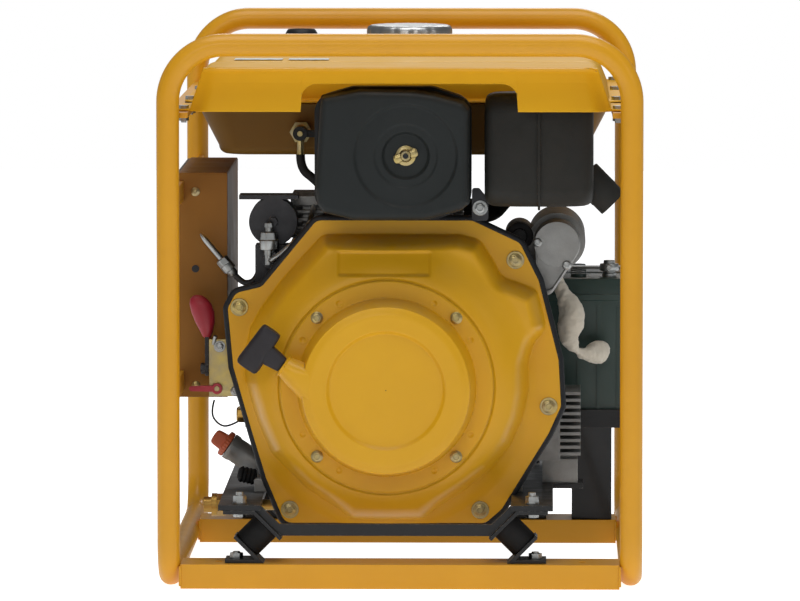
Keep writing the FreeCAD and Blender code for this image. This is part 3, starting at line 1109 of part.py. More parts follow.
def alternator():
    radius = "alternator_dia / 2"
    length = "alternator_back - alternator_front"
    inside = f"{radius} - alternator_wall"
    front = rod("alternator_adapter", "y", radius, "alternator_front - case_back",
                ("crank_x", "case_back", "crank_z"))
    ring = rod("alternator_ring", "y", radius, length, ("crank_x", "alternator_front", "crank_z"))
    feet = block("alternator_feet", ("crank_x - 150", "crank_x + 150"), ("alternator_back - 70",
                 "alternator_back - 30"), ("rail_top", "rail_top + 16"))
    hollow = rod("alternator_hollow", "y", inside, length, ("crank_x", "alternator_front", "crank_z"))
    eye = rod("alternator_eye", "y", "shaft_dia / 2 + 4", "60", ("crank_x", "case_back - 10", "crank_z"))
    node(cut("alternator_housing", fuse("alternator_solid", [front, ring, feet]), [hollow, eye]))
    start = f"(alternator_front + alternator_back - stator_length) / 2"
    stack = rod("stator_stack", "y", f"{inside} - 0.05", "stator_length", ("crank_x", start, "crank_z"))
    node(cut("stator", stack, rod("stator_bore", "y", "rotor_dia / 2 + air_gap", "alternator_dia * 2",
                                  ("crank_x", "alternator_front - 20", "crank_z"))))
    node(fuse("alternator_rotor", [
        rod("rotor_stack", "y", "rotor_dia / 2", "stator_length", ("crank_x", start, "crank_z")),
        rod("rotor_shaft", "y", "15", "alternator_back + 9 - (alternator_front + 4)",
            ("crank_x", "alternator_front + 4", "crank_z"))]))
    cover = rod("end_cover_disc", "y", radius, "12", ("crank_x", "alternator_back", "crank_z"))
    bearing = rod("end_cover_bore", "y", "15 + shaft_clearance", "9.2",
                  ("crank_x", "alternator_back - 0.1", "crank_z"))
    node(cut("alternator_end_cover", cover, bearing))


# ---------------------------------------------------------------- electrics

PANEL_FACE = "box_outer - panel_sheet"
TERMINALS = [("box_front + 74", "box_floor + 40"), ("box_front + 204", "box_floor + 40")]
KNOB_AT = ("(box_front + box_back) / 2", "box_floor + 132")
KEY_AT = ("box_front + 50", "box_floor + 208")
BREAKER_AT = ("box_back - 62", "box_floor + 208")


def control_box():
    shell = block("box_outside", ("box_outer", "box_inner"), ("box_front", "box_back"), ("box_floor", "box_top"))
    room = block("box_room", ("box_outer", "box_inner - box_sheet"),
                 ("box_front + box_sheet", "box_back - box_sheet"),
                 ("box_floor + box_sheet", "box_top - box_sheet"))
    node(cut("control_box", shell, room))
    panel = block("panel_plate", (PANEL_FACE, "box_outer"), ("box_front", "box_back"), ("box_floor", "box_top"))
    holes = [rod(f"terminal_hole_{number}", "x", "11.5", "20", ("box_outer - 10", y, z))
             for number, (y, z) in enumerate(TERMINALS)]
    holes.append(rod("knob_hole", "x", "3.5", "20", ("box_outer - 10", *KNOB_AT)))
    holes.append(rod("key_hole", "x", "8", "20", ("box_outer - 10", *KEY_AT)))
    y, z = BREAKER_AT
    holes.append(block("breaker_hole", ("box_outer - 10", "box_outer + 10"), (f"{y} - 6", f"{y} + 6"),
                       (f"{z} - 16", f"{z} + 16")))
    plate = cut("panel_drilled", panel, holes)
    reach = f"{PANEL_FACE} - 9"
    sockets = [cut(f"terminal_{number}", fuse(f"terminal_solid_{number}", [
        rod(f"terminal_barrel_{number}", "x", "11", "40", (reach, y, z)),
        rod(f"terminal_collar_{number}", "x", "16", "6", (f"{PANEL_FACE} - 6", y, z))]),
        rod(f"terminal_socket_{number}", "x", "socket_bore / 2", "socket_depth", (reach, y, z)))
        for number, (y, z) in enumerate(TERMINALS)]
    node(gather("weld_terminals", sockets))
    node(fuse("current_knob", [
        rod("knob_skirt", "-x", "20", "4", (f"{PANEL_FACE} - fit_gap", *KNOB_AT)),
        rod("knob_grip", "-x", "14", "9.4", (f"{PANEL_FACE} - fit_gap", *KNOB_AT)),
        rod("knob_stem", "x", "3", "20", (f"{PANEL_FACE} - fit_gap", *KNOB_AT))]))
    node(fuse("key_switch", [
        rod("key_barrel", "x", "7.6", "24", (f"{PANEL_FACE} - 2", *KEY_AT)),
        rod("key_bow", "-x", "9", "2.4", (f"{PANEL_FACE} - 2", *KEY_AT)),
        block("key_blade", (f"{PANEL_FACE} - 9", f"{PANEL_FACE} - 4"), (f"{KEY_AT[0]} - 8", f"{KEY_AT[0]} + 8"),
              (f"{KEY_AT[1]} - 1.5", f"{KEY_AT[1]} + 1.5"))]))
    node(fuse("breaker_lever", [
        rod("breaker_pivot", "y", "4", "10", ("box_outer + 4", f"{y} - 5", z)),
        block("breaker_toggle", (f"{PANEL_FACE} - 7", "box_outer + 4"), (f"{y} - 5", f"{y} + 5"),
              (f"{z} - 3", f"{z} + 3"))]))
    body_x = ("box_outer + 8.3", "box_outer + 40")
    breaker = fuse("breaker_body", [
        block("breaker_case", body_x, (f"{y} - 13", f"{y} + 13"), (f"{z} - 24", f"{z} + 24")),
        block("breaker_cheek_low", ("box_outer", "box_outer + 8.3"), (f"{y} - 13", f"{y} + 13"),
              (f"{z} - 24", f"{z} - 17")),
        block("breaker_cheek_high", ("box_outer", "box_outer + 8.3"), (f"{y} - 13", f"{y} + 13"),
              (f"{z} + 17", f"{z} + 24"))])
    node(gather("control_panel", [plate, breaker]))
    bars = []
    for back in (-1, 1):
        for number, low in enumerate(("box_floor + 8", "box_top - 30")):
            ends = (f"-({LEG_Y} - tube_dia / 2 + 4)", "box_front") if back < 0 else \
                   ("box_back", f"{LEG_Y} - tube_dia / 2 + 4")
            tag = f"box_bar_{back + 1}_{number}"
            bar = block(tag, ("box_outer + 1", "box_outer + 6"), ends, (low, f"{low} + 22"))
            bars.append(cut(tag + "_coped", bar, leg_cope(tag + "_cope", -1, back)))
    node(gather("box_brackets", bars))


def battery():
    left, right = "battery_left", "battery_left + battery_width"
    front, back = "battery_front", "battery_front + battery_length"
    top = "battery_floor + battery_height"
    posts = [rod(f"battery_post_{number}", "z", "7", "15", (x, f"{front} + 24", top))
             for number, x in enumerate((f"{left} + 24", f"{right} - 24"))]
    node(fuse("battery", [block("battery_case", (left, right), (front, back), ("battery_floor", top))] + posts))
    skin = "tray_sheet"
    pan = block("tray_pan", (f"{left} - {skin} - 0.5", f"{right} + {skin} + 0.5"),
                (f"{front} - {skin} - 0.5", f"{back} + {skin} + 0.5"), (f"battery_floor - {skin}",
                                                                      "battery_floor + tray_rim"))
    room = block("tray_room", (f"{left} - 0.5", f"{right} + 0.5"), (f"{front} - 0.5", f"{back} + 0.5"),
                 ("battery_floor", "battery_floor + tray_rim + 1"))
    near, far = "rear_cross_at - 28", "rear_cross_at + 28"
    column = block("tray_column", ("battery_left + 52", "battery_left + 98"), (near, far),
                   ("cross_height", f"battery_floor - {skin}"))
    void = block("tray_column_room", ("battery_left + 52 + 4", "battery_left + 98 + 1"),
                 (f"{near} + 4", f"{far} - 4"),
                 ("cross_height + 4", f"battery_floor - {skin} - 4"))
    tray = cut("tray_hollowed", pan, room)
    node(fuse("battery_tray", [tray, cut("tray_column_hollowed", column, void)]))
    middle = f"({front} + {back}) / 2"
    rod_left, rod_right = f"{left} - {skin} - 3.5", f"{right} + {skin} + 3.5"
    node(fuse("battery_clamp", [
        block("clamp_bar", (f"{rod_left} - 4", f"{rod_right} + 3"), (f"{middle} - 9", f"{middle} + 9"),
              (top, f"{top} + 3")),
        rod("clamp_rod_left", "z", "2.6", "battery_height + 9", (rod_left, middle, "battery_floor + 6")),
        rod("clamp_rod_right", "z", "2.6", "battery_height + 9", (rod_right, middle, "battery_floor + 6"))]))


def harness():
    x, z = size("crank_x") + 188, size("crank_z") + 153
    node(route("wiring_harness", [(x, -84, z - 32.3), (x, -84, z - 54), (x + 20, -88, z - 84),
                                  (x + 12, -84, z - 114), (x + 24, -62, z - 134), (x + 44, -38, z - 136),
                                  (x + 52, -20, z - 132), (x + 52, size("battery_front") - 0.3, z - 132)], 9))


alternator()
control_box()
battery()
harness()


# ---------------------------------------------------------------- check and write

def main():
    doc.recompute()
    for item in doc.Objects:
        if "Invalid" in item.State or "Error" in item.State:
            raise RuntimeError(f"{item.Label} failed: {item.State}")
    os.makedirs("parts", exist_ok=True)
    for label, item in NODES.items():
        shape = item.Shape
        if shape.isNull() or not shape.isValid():
            raise RuntimeError(f"{label} has no valid shape")
        shape.exportStep(f"parts/{label}.step")
        print(label, len(shape.Solids), round(shape.Volume / 1000, 1), "cm3")


main()
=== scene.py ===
import json
import math

import bmesh
import bpy
import numpy as np
from mathutils import Matrix, Vector, noise


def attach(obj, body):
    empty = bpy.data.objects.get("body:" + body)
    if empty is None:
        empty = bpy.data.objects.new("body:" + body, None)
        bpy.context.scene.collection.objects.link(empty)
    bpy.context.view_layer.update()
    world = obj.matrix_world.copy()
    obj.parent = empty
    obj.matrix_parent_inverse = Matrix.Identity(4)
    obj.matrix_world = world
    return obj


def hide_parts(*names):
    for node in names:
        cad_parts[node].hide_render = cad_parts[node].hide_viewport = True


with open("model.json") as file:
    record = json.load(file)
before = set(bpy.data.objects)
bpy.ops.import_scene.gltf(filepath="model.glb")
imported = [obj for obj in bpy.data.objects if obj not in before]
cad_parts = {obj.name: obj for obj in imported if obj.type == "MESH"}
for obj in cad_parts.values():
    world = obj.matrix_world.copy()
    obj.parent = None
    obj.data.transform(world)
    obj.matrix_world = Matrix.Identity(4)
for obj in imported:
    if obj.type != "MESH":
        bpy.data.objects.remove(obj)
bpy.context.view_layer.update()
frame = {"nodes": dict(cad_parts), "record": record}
MM = 0.001
BODY_OF = {node: body for body, members in frame["record"]["behaviour"]["bodies"].items() for node in members}
SLOT_OF = {part["node"]: part["material_slot"] for part in frame["record"]["subparts"]}


# ---------------------------------------------------------------- materials

def linear(colour):
    """0-255 screen colour to linear light."""
    share = [c / 255 for c in colour]
    return tuple(c / 12.92 if c <= 0.04045 else ((c + 0.055) / 1.055) ** 2.4 for c in share) + (1,)


class Graph:
    """Short calls for the nodes of one material."""

    def __init__(self, name):
        self.material = bpy.data.materials.new(name)
        self.material.use_nodes = True
        self.tree = self.material.node_tree
        self.shader = self.tree.nodes["Principled BSDF"]
        self.place = self.add("ShaderNodeTexCoord").outputs["Object"]

    def add(self, kind, **values):
        item = self.tree.nodes.new(kind)
        for key, value in values.items():
            setattr(item, key, value)
        return item

    def link(self, source, target):
        self.tree.links.new(source, target)

    def noise(self, scale, detail=3, rough=0.55, stretch=None, shift=(0, 0, 0)):
        mapping = self.add("ShaderNodeMapping")
        mapping.inputs["Scale"].default_value = stretch or (1, 1, 1)
        mapping.inputs["Location"].default_value = shift
        self.link(self.place, mapping.inputs["Vector"])
        item = self.add("ShaderNodeTexNoise")
        self.link(mapping.outputs[0], item.inputs["Vector"])
        item.inputs["Scale"].default_value = scale
        item.inputs["Detail"].default_value = detail
        item.inputs["Roughness"].default_value = rough
        return item.outputs["Fac"]

    def spread(self, source, low, high, to_low=0, to_high=1):
        item = self.add("ShaderNodeMapRange")
        item.inputs["From Min"].default_value = low
        item.inputs["From Max"].default_value = high
        item.inputs["To Min"].default_value = to_low
        item.inputs["To Max"].default_value = to_high
        self.link(source, item.inputs["Value"])
        return item.outputs[0]

    def times(self, one, two, kind="MULTIPLY"):
        item = self.add("ShaderNodeMath", operation=kind)
        for index, value in enumerate((one, two)):
            if isinstance(value, (int, float)):
                item.inputs[index].default_value = value
            else:
                self.link(value, item.inputs[index])
        item.use_clamp = True
        return item.outputs[0]

    def blend(self, factor, one, two):
        item = self.add("ShaderNodeMix", data_type="RGBA")
        for index, value in ((6, one), (7, two)):
            if isinstance(value, tuple):
                item.inputs[index].default_value = value
            else:
                self.link(value, item.inputs[index])
        self.link(factor, item.inputs[0])
        return item.outputs[2]

    def edges(self, width):
        """1 along convex and concave edges, 0 on flats."""
        bevel = self.add("ShaderNodeBevel", samples=4)
        bevel.inputs["Radius"].default_value = width
        flat = self.add("ShaderNodeNewGeometry")
        dot = self.add("ShaderNodeVectorMath", operation="DOT_PRODUCT")
        self.link(bevel.outputs[0], dot.inputs[0])
        self.link(flat.outputs["Normal"], dot.inputs[1])
        return self.spread(dot.outputs["Value"], 0.985, 0.88)

    def upward(self):
        """1 on faces that look up, where dust settles."""
        flat = self.add("ShaderNodeNewGeometry")
        split = self.add("ShaderNodeSeparateXYZ")
        self.link(flat.outputs["Normal"], split.inputs[0])
        return self.spread(split.outputs["Z"], 0.55, 1.0)


# width in metres of the worn band along edges, and the colour of settled dust
WEAR_WIDTH = 0.0012
DUST_COLOUR = (188, 180, 165)


def finish(name, colour, second=None, mottle=18, mix=0.5, rough=(0.35, 0.5), metal=0.0, coat=0.0,
           coat_rough=0.1,
           bump=((900, 0.02),), wear=None, wear_amount=0.5, dust=0.0, specular=0.5, stretch=None,
           sheen=0.0):
    """A paint, metal, rubber or plastic: mottled colour, worn edges, dust, uneven gloss and surface grain."""
    graph = Graph(name)
    shader = graph.shader
    base = linear(colour)
    second = linear(second or tuple(int(c * 0.86) for c in colour))
    broad = graph.noise(mottle, 4, 0.6, stretch)
    tone = graph.blend(graph.spread(broad, 0.5 - 0.22, 0.5 + 0.22, 0, mix), base, second)
    gloss = graph.spread(graph.noise(mottle * 2.7, 5, 0.62, shift=(3, 1, 2)), 0.3, 0.7, *rough)
    if wear:
        chips = graph.spread(graph.noise(240, 4, 0.7, shift=(5, 5, 1)), 0.56 - 0.16 * wear_amount, 0.62)
        mask = graph.times(graph.edges(WEAR_WIDTH), chips)
        tone = graph.blend(mask, tone, linear(wear))
    if dust:
        cover = graph.times(graph.upward(),
                            graph.spread(graph.noise(60, 5, 0.7, shift=(1, 7, 3)), 0.35, 0.75, 0, dust))
        tone = graph.blend(cover, tone, linear(DUST_COLOUR))
        gloss = graph.times(gloss, graph.times(cover, 0.4), "ADD")
    graph.link(tone, shader.inputs["Base Color"])
    graph.link(gloss, shader.inputs["Roughness"])
    shader.inputs["Metallic"].default_value = metal
    shader.inputs["Specular IOR Level"].default_value = specular
    shader.inputs["Coat Weight"].default_value = coat
    shader.inputs["Coat Roughness"].default_value = coat_rough
    shader.inputs["Sheen Weight"].default_value = sheen
    normal = None
    for scale, height in bump:
        item = graph.add("ShaderNodeBump")
        item.inputs["Distance"].default_value = 0.001
        item.inputs["Strength"].default_value = height
        graph.link(graph.noise(scale, 3, 0.6, stretch, shift=(0, scale / 50, 0)), item.inputs["Height"])
        if normal:
            graph.link(normal, item.inputs["Normal"])
        normal = item.outputs[0]
    if normal:
        graph.link(normal, shader.inputs["Normal"])
    return graph.material


LOOKS = {
    "frame_yellow": finish("frame_enamel", (226, 162, 26), (214, 150, 22), 9, 0.6, (0.34, 0.46), coat=0.18,
                           coat_rough=0.2, bump=((420, 0.06), (90, 0.03)), dust=0.06, specular=0.35),
    "tank_yellow": finish("tank_enamel", (230, 174, 30), (220, 162, 24), 7, 0.6, (0.42, 0.54), specular=0.15,
                          bump=((380, 0.08), (60, 0.06)), wear=(130, 105, 70), wear_amount=0.2,
                          dust=0.08),
    "panel_yellow": finish("housing_enamel", (224, 168, 18), (212, 156, 14), 8, 0.6, (0.36, 0.5), coat=0.12,
                           specular=0.35,
                           coat_rough=0.22, bump=((360, 0.10), (70, 0.08)), wear=(110, 92, 60),
                           wear_amount=0.3,
                           dust=0.25),
    "black_steel": finish("black_enamel", (24, 25, 27), (34, 34, 35), 14, 0.6, (0.36, 0.55), coat=0.15,
                          bump=((500, 0.12), (90, 0.06)), wear=(110, 108, 102), wear_amount=0.2, dust=0.08,
                          specular=0.3),
    "edging_black": finish("edging_enamel", (28, 31, 35), (22, 24, 28), 16, 0.6, (0.42, 0.58), specular=0.3,
                           bump=((600, 0.12),), wear=(120, 120, 118), wear_amount=0.2, dust=0.06),
    "rubber": finish("mount_rubber", (20, 20, 21), (30, 29, 28), 24, 0.6, (0.6, 0.8), bump=((800, 0.15),),
                     dust=0.1, specular=0.25),
    "zinc_steel": finish("zinc_plate", (176, 178, 176), (150, 152, 152), 60, 0.7, (0.26, 0.44), metal=1.0,
                         bump=((1200, 0.06),), wear=(96, 88, 76), wear_amount=0.4),
    "yellow_zinc": finish("yellow_chromate", (196, 174, 104), (150, 142, 128), 55, 0.8, (0.28, 0.46),
                          metal=1.0,
                          bump=((1100, 0.06),), wear=(120, 110, 90), wear_amount=0.4),
    "chrome": finish("chrome_plate", (190, 190, 188), (172, 172, 171), 40, 0.6, (0.3, 0.42), metal=1.0,
                     bump=((700, 0.02),)),
    "brass": finish("brass", (186, 150, 80), (158, 124, 66), 50, 0.7, (0.28, 0.42), metal=1.0,
                    bump=((900, 0.05),)),
    "gauge_white": finish("gauge_rim", (226, 226, 222), (205, 204, 198), 40, 0.5, (0.3, 0.42),
                          bump=((900, 0.03),)),
    "black_plastic": finish("black_plastic", (34, 36, 38), (24, 26, 28), 30, 0.6, (0.42, 0.56),
                            bump=((1500, 0.10), (260, 0.05)), dust=0.08, specular=0.3),
    "cover_slate": finish("cleaner_plastic", (34, 38, 38), (28, 32, 32), 14, 0.6, (0.44, 0.58),
                          bump=((1500, 0.12), (120, 0.05)), dust=0.06, specular=0.25),
    "grip_plastic": finish("grip_plastic", (50, 47, 50), (38, 36, 39), 40, 0.6, (0.44, 0.58),
                           bump=((1300, 0.12),), dust=0.06, specular=0.3),
    "cast_iron": finish("cast_iron", (84, 84, 82), (60, 60, 60), 40, 0.7, (0.5, 0.68), metal=0.7,
                        bump=((700, 0.35), (160, 0.2)), dust=0.2),
    "cast_alu": finish("cast_aluminium", (158, 158, 156), (128, 128, 126), 34, 0.7, (0.4, 0.58), metal=0.85,
                       bump=((900, 0.28), (200, 0.16)), wear=(190, 190, 188), wear_amount=0.4, dust=0.15),
    "dark_steel": finish("dark_steel", (66, 66, 68), (46, 46, 48), 40, 0.7, (0.36, 0.52), metal=0.85,
                         bump=((900, 0.14),), wear=(130, 128, 124), wear_amount=0.4),
    "muffler_black": finish("heat_paint", (36, 37, 35), (46, 43, 38), 16, 0.7, (0.5, 0.68), specular=0.25,
                            bump=((700, 0.25), (110, 0.1)), wear=(96, 70, 52), wear_amount=0.2, dust=0.08),
    "paper": finish("filter_paper", (196, 186, 160), (176, 164, 138), 40, 0.6, (0.8, 0.9),
                    bump=((500, 0.2),)),
    "rope": finish("starter_rope", (222, 220, 214), (190, 186, 178), 300, 0.7, (0.7, 0.85),
                   bump=((900, 0.5),),
                   stretch=(1, 1, 3)),
    "red_plastic": finish("red_plastic", (168, 34, 50), (142, 26, 42), 50, 0.6, (0.34, 0.48), coat=0.1,
                          bump=((1200, 0.06),)),
    "orange_plastic": finish("orange_plastic", (192, 92, 52), (170, 78, 44), 40, 0.6, (0.4, 0.54),
                             bump=((1200, 0.08),), dust=0.2),
    "copper_core": finish("winding_copper", (150, 84, 50), (112, 66, 44), 120, 0.7, (0.34, 0.5), metal=0.8,
                          bump=((600, 0.3),)),
    "battery_case": finish("battery_plastic", (40, 62, 56), (30, 48, 44), 16, 0.6, (0.34, 0.5), coat=0.1,
                           bump=((1200, 0.08), (140, 0.05)), dust=0.15),
    "foam_wrap": finish("foam_wrap", (214, 206, 190), (188, 180, 164), 90, 0.6, (0.8, 0.95),
                        bump=((420, 0.5), (90, 0.3)), specular=0.2, sheen=0.3),
    "cable_black": finish("cable_sheath", (26, 26, 28), (36, 35, 36), 60, 0.6, (0.4, 0.6),
                          bump=((900, 0.08),)),
    "blue_tape": finish("blue_tape", (70, 104, 178), (58, 88, 156), 90, 0.6, (0.4, 0.55), bump=((900, 0.1),)),
    # painted shade: the tank's yellow enamel darkened to brown for the shadow under the skirt
    "tank_yellow_painted_shade": finish("tank_underside_painted_shade", (118, 84, 26), (104, 74, 24), 7, 0.6, (0.45, 0.6), specular=0.2,
                         bump=((380, 0.08), (60, 0.06))),
    # painted shade: the box's yellow enamel darkened to brown-orange for the shade under the tank; its worn
    # edges and dust are real
    "box_yellow_painted_shade": finish("box_enamel_painted_shade", (150, 100, 34), (134, 88, 30), 8, 0.6, (0.42, 0.56), specular=0.25,
                        bump=((380, 0.10), (70, 0.06)), wear=(110, 92, 60), wear_amount=0.2, dust=0.08),
    "label_white": finish("label_film", (226, 224, 214), (212, 208, 196), 60, 0.5, (0.35, 0.5),
                          bump=((900, 0.02),)),
}


def wear_material(obj, look):
    obj.data.materials.clear()
    obj.data.materials.append(LOOKS[look])


# ---------------------------------------------------------------- pieces

def link(obj):
    bpy.context.scene.collection.objects.link(obj)
    return obj


def settle(obj, body, look, stands_for=()):
    """A finished piece: its material, the body it rides on and the CAD nodes it stands for."""
    wear_material(obj, look)
    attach(obj, body)
    if stands_for:
        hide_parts(*stands_for)
    return obj


def smooth(obj, angle=40):
    for face in obj.data.polygons:
        face.use_smooth = True
    obj.data.set_sharp_from_angle(angle=math.radians(angle))
    return obj


def add_bevel(obj, width):
    """Rounds every edge sharper than 30 degrees."""
    item = obj.modifiers.new("rounding", "BEVEL")
    item.width = width * MM
    item.segments = 2
    item.limit_method = "ANGLE"
    item.angle_limit = math.radians(30)
    item.use_clamp_overlap = True
    item.harden_normals = True
    return obj


def from_bmesh(name, mesh):
    data = bpy.data.meshes.new(name)
    mesh.to_mesh(data)
    mesh.free()
    return link(bpy.data.objects.new(name, data))


def soften(node, width, look=None):
    """The CAD node with its machined or pressed edges rounded."""
    mesh = bmesh.new()
    mesh.from_mesh(frame["nodes"][node].data)
    bmesh.ops.remove_doubles(mesh, verts=mesh.verts, dist=2e-6)
    bmesh.ops.dissolve_limit(mesh, angle_limit=math.radians(0.6), verts=mesh.verts, edges=mesh.edges)
    obj = from_bmesh(node + "_finish", mesh)
    smooth(obj)
    if width:
        add_bevel(obj, width)
    slot = SLOT_OF[node]
    return settle(obj, BODY_OF[node], look or slot, (node,))


# ---------------------------------------------------------------- pressed and lofted forms

# places in millimetres that several pieces share: X and Z of the crank axis and of the air cleaner's dish,
# the leg's axis, the radius of the frame's tube, the level of its top bar and the top of the tank
CRANK = (-16.0, 216.0)
DISH = (6.0, 475.0)
LEG_X, LEG_Y = 253.5, 347.5
TUBE_RADIUS = 12.5
TOP_BAR = 597.5
TANK_TOP = 571


def rounded(points, radius, steps=6):
    """A polygon in millimetres with each corner turned into an arc."""
    out = []
    count = len(points)
    for index in range(count):
        before, here, after = (Vector(points[(index + k) % count]) for k in (-1, 0, 1))
        one, two = (before - here).normalized(), (after - here).normalized()
        half = math.acos(max(-1, min(1, one.dot(two)))) / 2
        reach = min(radius / math.tan(half), (before - here).length * 0.48, (after - here).length * 0.48)
        bend = reach * math.tan(half)
        middle = here + (one + two).normalized() * (bend / math.sin(half))
        start, end = here + one * reach - middle, here + two * reach - middle
        sweep = start.angle_signed(end)
        for step in range(steps + 1):
            turn = Matrix.Rotation(-sweep * step / steps, 2)
            out.append(tuple(middle + turn @ start))
    return out


def edge_distance(points, outline):
    """How far inside an outline each point lies, for arrays of points."""
    best = np.full(len(points), 1e9)
    loop = np.array(outline)
    for one, two in zip(loop, np.roll(loop, -1, 0)):
        span = two - one
        length = span @ span
        if length < 1e-9:
            continue
        t = np.clip(((points - one) @ span) / length, 0, 1)
        best = np.minimum(best, np.hypot(*(points - one - t[:, None] * span).T))
    return best


def ray_reach(outline, centre, angles):
    """The outline's radius from a centre at each angle."""
    loop = np.array(outline) - centre
    out = []
    for angle in angles:
        way = np.array((math.cos(angle), math.sin(angle)))
        side = np.array((-way[1], way[0]))
        best = 0
        for one, two in zip(loop, np.roll(loop, -1, 0)):
            a, b = one @ side, two @ side
            if (a <= 0) != (b <= 0):
                best = max(best, (one + (two - one) * (a / (a - b))) @ way)
        out.append(best)
    return np.array(out)


def squarish(value, power):
    """A cosine or sine pulled outwards, which makes a circle's section squarer."""
    return math.copysign(abs(value) ** power, value)


def signed_area(loop):
    """Twice a loop's area: positive where it runs anticlockwise."""
    return sum(a.x * b.y - b.x * a.y for a, b in zip(loop, loop[1:] + loop[:1]))


def ease(value, low, high):
    """0 at low, 1 at high, with soft ends."""
    t = np.clip((value - low) / (high - low), 0, 1)
    return t * t * (3 - 2 * t)


def ring_faces(rows, count):
    """Quads between closed rings of equal count."""
    faces = []
    for row in range(rows - 1):
        for column in range(count):
            after = (column + 1) % count
            a, b = row * count, (row + 1) * count
            faces.append((a + column, a + after, b + after, b + column))
    return faces


def mesh_object(name, points, faces):
    data = bpy.data.meshes.new(name)
    data.from_pydata([tuple(p) for p in points], [], faces)
    data.validate()
    mesh = bmesh.new()
    mesh.from_mesh(data)
    bmesh.ops.remove_doubles(mesh, verts=mesh.verts, dist=1e-6)
    bmesh.ops.recalc_face_normals(mesh, faces=mesh.faces)
    mesh.to_mesh(data)
    mesh.free()
    return link(bpy.data.objects.new(name, data))


def pressing(name, outline, centre, hole, height, base, walls, columns, rows, sheet):
    """A pressed sheet facing the front: rings from a round hole out to the outline, raised by a function of
    (x, z, distance inside the outline, radius), then wall steps (outward, back) past the outline."""
    angles = np.linspace(0, 2 * math.pi, columns, endpoint=False)
    reach = ray_reach(outline, centre, angles)
    way = np.stack((np.cos(angles), np.sin(angles)), 1)
    share = np.linspace(0, 1, rows)
    radius = hole + (reach[None, :] - hole) * share[:, None]
    flat = np.array(centre) + radius[:, :, None] * way[None]
    spots = flat.reshape(-1, 2)
    lift = height(spots[:, 0], spots[:, 1], edge_distance(spots, outline), radius.reshape(-1))
    points = np.stack((spots[:, 0], base - lift, spots[:, 1]), 1)
    rings = [points.reshape(rows, columns, 3)]
    last = rings[0][-1]
    for out, back in walls:
        ring = last.copy()
        ring[:, (0, 2)] += way * out
        ring[:, 1] = last[:, 1] + back
        rings.append(ring[None])
    everything = np.concatenate(rings)
    obj = mesh_object(name, everything.reshape(-1, 3) * MM, ring_faces(len(everything), columns))
    smooth(obj, 50)
    if sheet:
        item = obj.modifiers.new("sheet", "SOLIDIFY")
        item.thickness = sheet * MM
        item.offset = -1
    return obj


def loft(name, rings, cap=True):
    """Closed rings of equal count, in millimetres, joined by quads."""
    count = len(rings[0])
    points = [Vector(p) * MM for ring in rings for p in ring]
    faces = ring_faces(len(rings), count)
    if cap:
        faces.append(tuple(range(count))[::-1])
        start = (len(rings) - 1) * count
        faces.append(tuple(range(start, start + count)))
    return smooth(mesh_object(name, points, faces))


def turned(name, profile, origin, axis, columns=96, cap=True, lobes=None):
    """A profile of (radius, height) turned about an axis; lobes(radius, height, angle) gives a new radius."""
    axis = Vector(axis).normalized()
    side = axis.orthogonal().normalized()
    other = axis.cross(side)
    rings = []
    for radius, height in profile:
        ring = []
        for column in range(columns):
            angle = 2 * math.pi * column / columns
            reach = lobes(radius, height, angle) if lobes else radius
            ring.append(Vector(origin) + axis * height +
                        (side * math.cos(angle) + other * math.sin(angle)) * reach)
        rings.append(ring)
    return loft(name, rings, cap)


def tube(name, path, radius, columns=24, cap=True):
    """A round bar swept along dense points in millimetres, without twist."""
    path = [Vector(p) for p in path]
    rings, side = [], None
    for index, here in enumerate(path):
        way = (path[min(index + 1, len(path) - 1)] - path[max(index - 1, 0)]).normalized()
        side = way.orthogonal().normalized() if side is None else (side - way * side.dot(way)).normalized()
        other = way.cross(side)
        size = radius(index / (len(path) - 1)) if callable(radius) else radius
        rings.append([here + (side * math.cos(a) + other * math.sin(a)) * size
                      for a in (2 * math.pi * k / columns for k in range(columns))])
    return loft(name, rings, cap)


def bent(points, radius, steps=10):
    """A 3-D line of rigid tube whose corners are arcs."""
    out = [Vector(points[0])]
    for before, here, after in zip(points, points[1:], points[2:]):
        before, here, after = Vector(before), Vector(here), Vector(after)
        one, two = (before - here).normalized(), (after - here).normalized()
        half = one.angle(two) / 2
        reach = radius / math.tan(half)
        middle = here + (one + two).normalized() * (radius / math.sin(half))
        start = here + one * reach - middle
        axis = one.cross(two).normalized()
        sweep = math.pi - 2 * half
        for step in range(steps + 1):
            out.append(middle + Matrix.Rotation(-sweep * step / steps, 3, axis) @ start)
    out.append(Vector(points[-1]))
    return out


def joined(name, parts):
    """Several loose shapes made one mesh."""
    mesh = bmesh.new()
    for part in parts:
        graph = bpy.context.evaluated_depsgraph_get()
        final = part.evaluated_get(graph).to_mesh()
        mesh.from_mesh(final)
        part.evaluated_get(graph).to_mesh_clear()
        bpy.data.objects.remove(part)
    return smooth(from_bmesh(name, mesh))


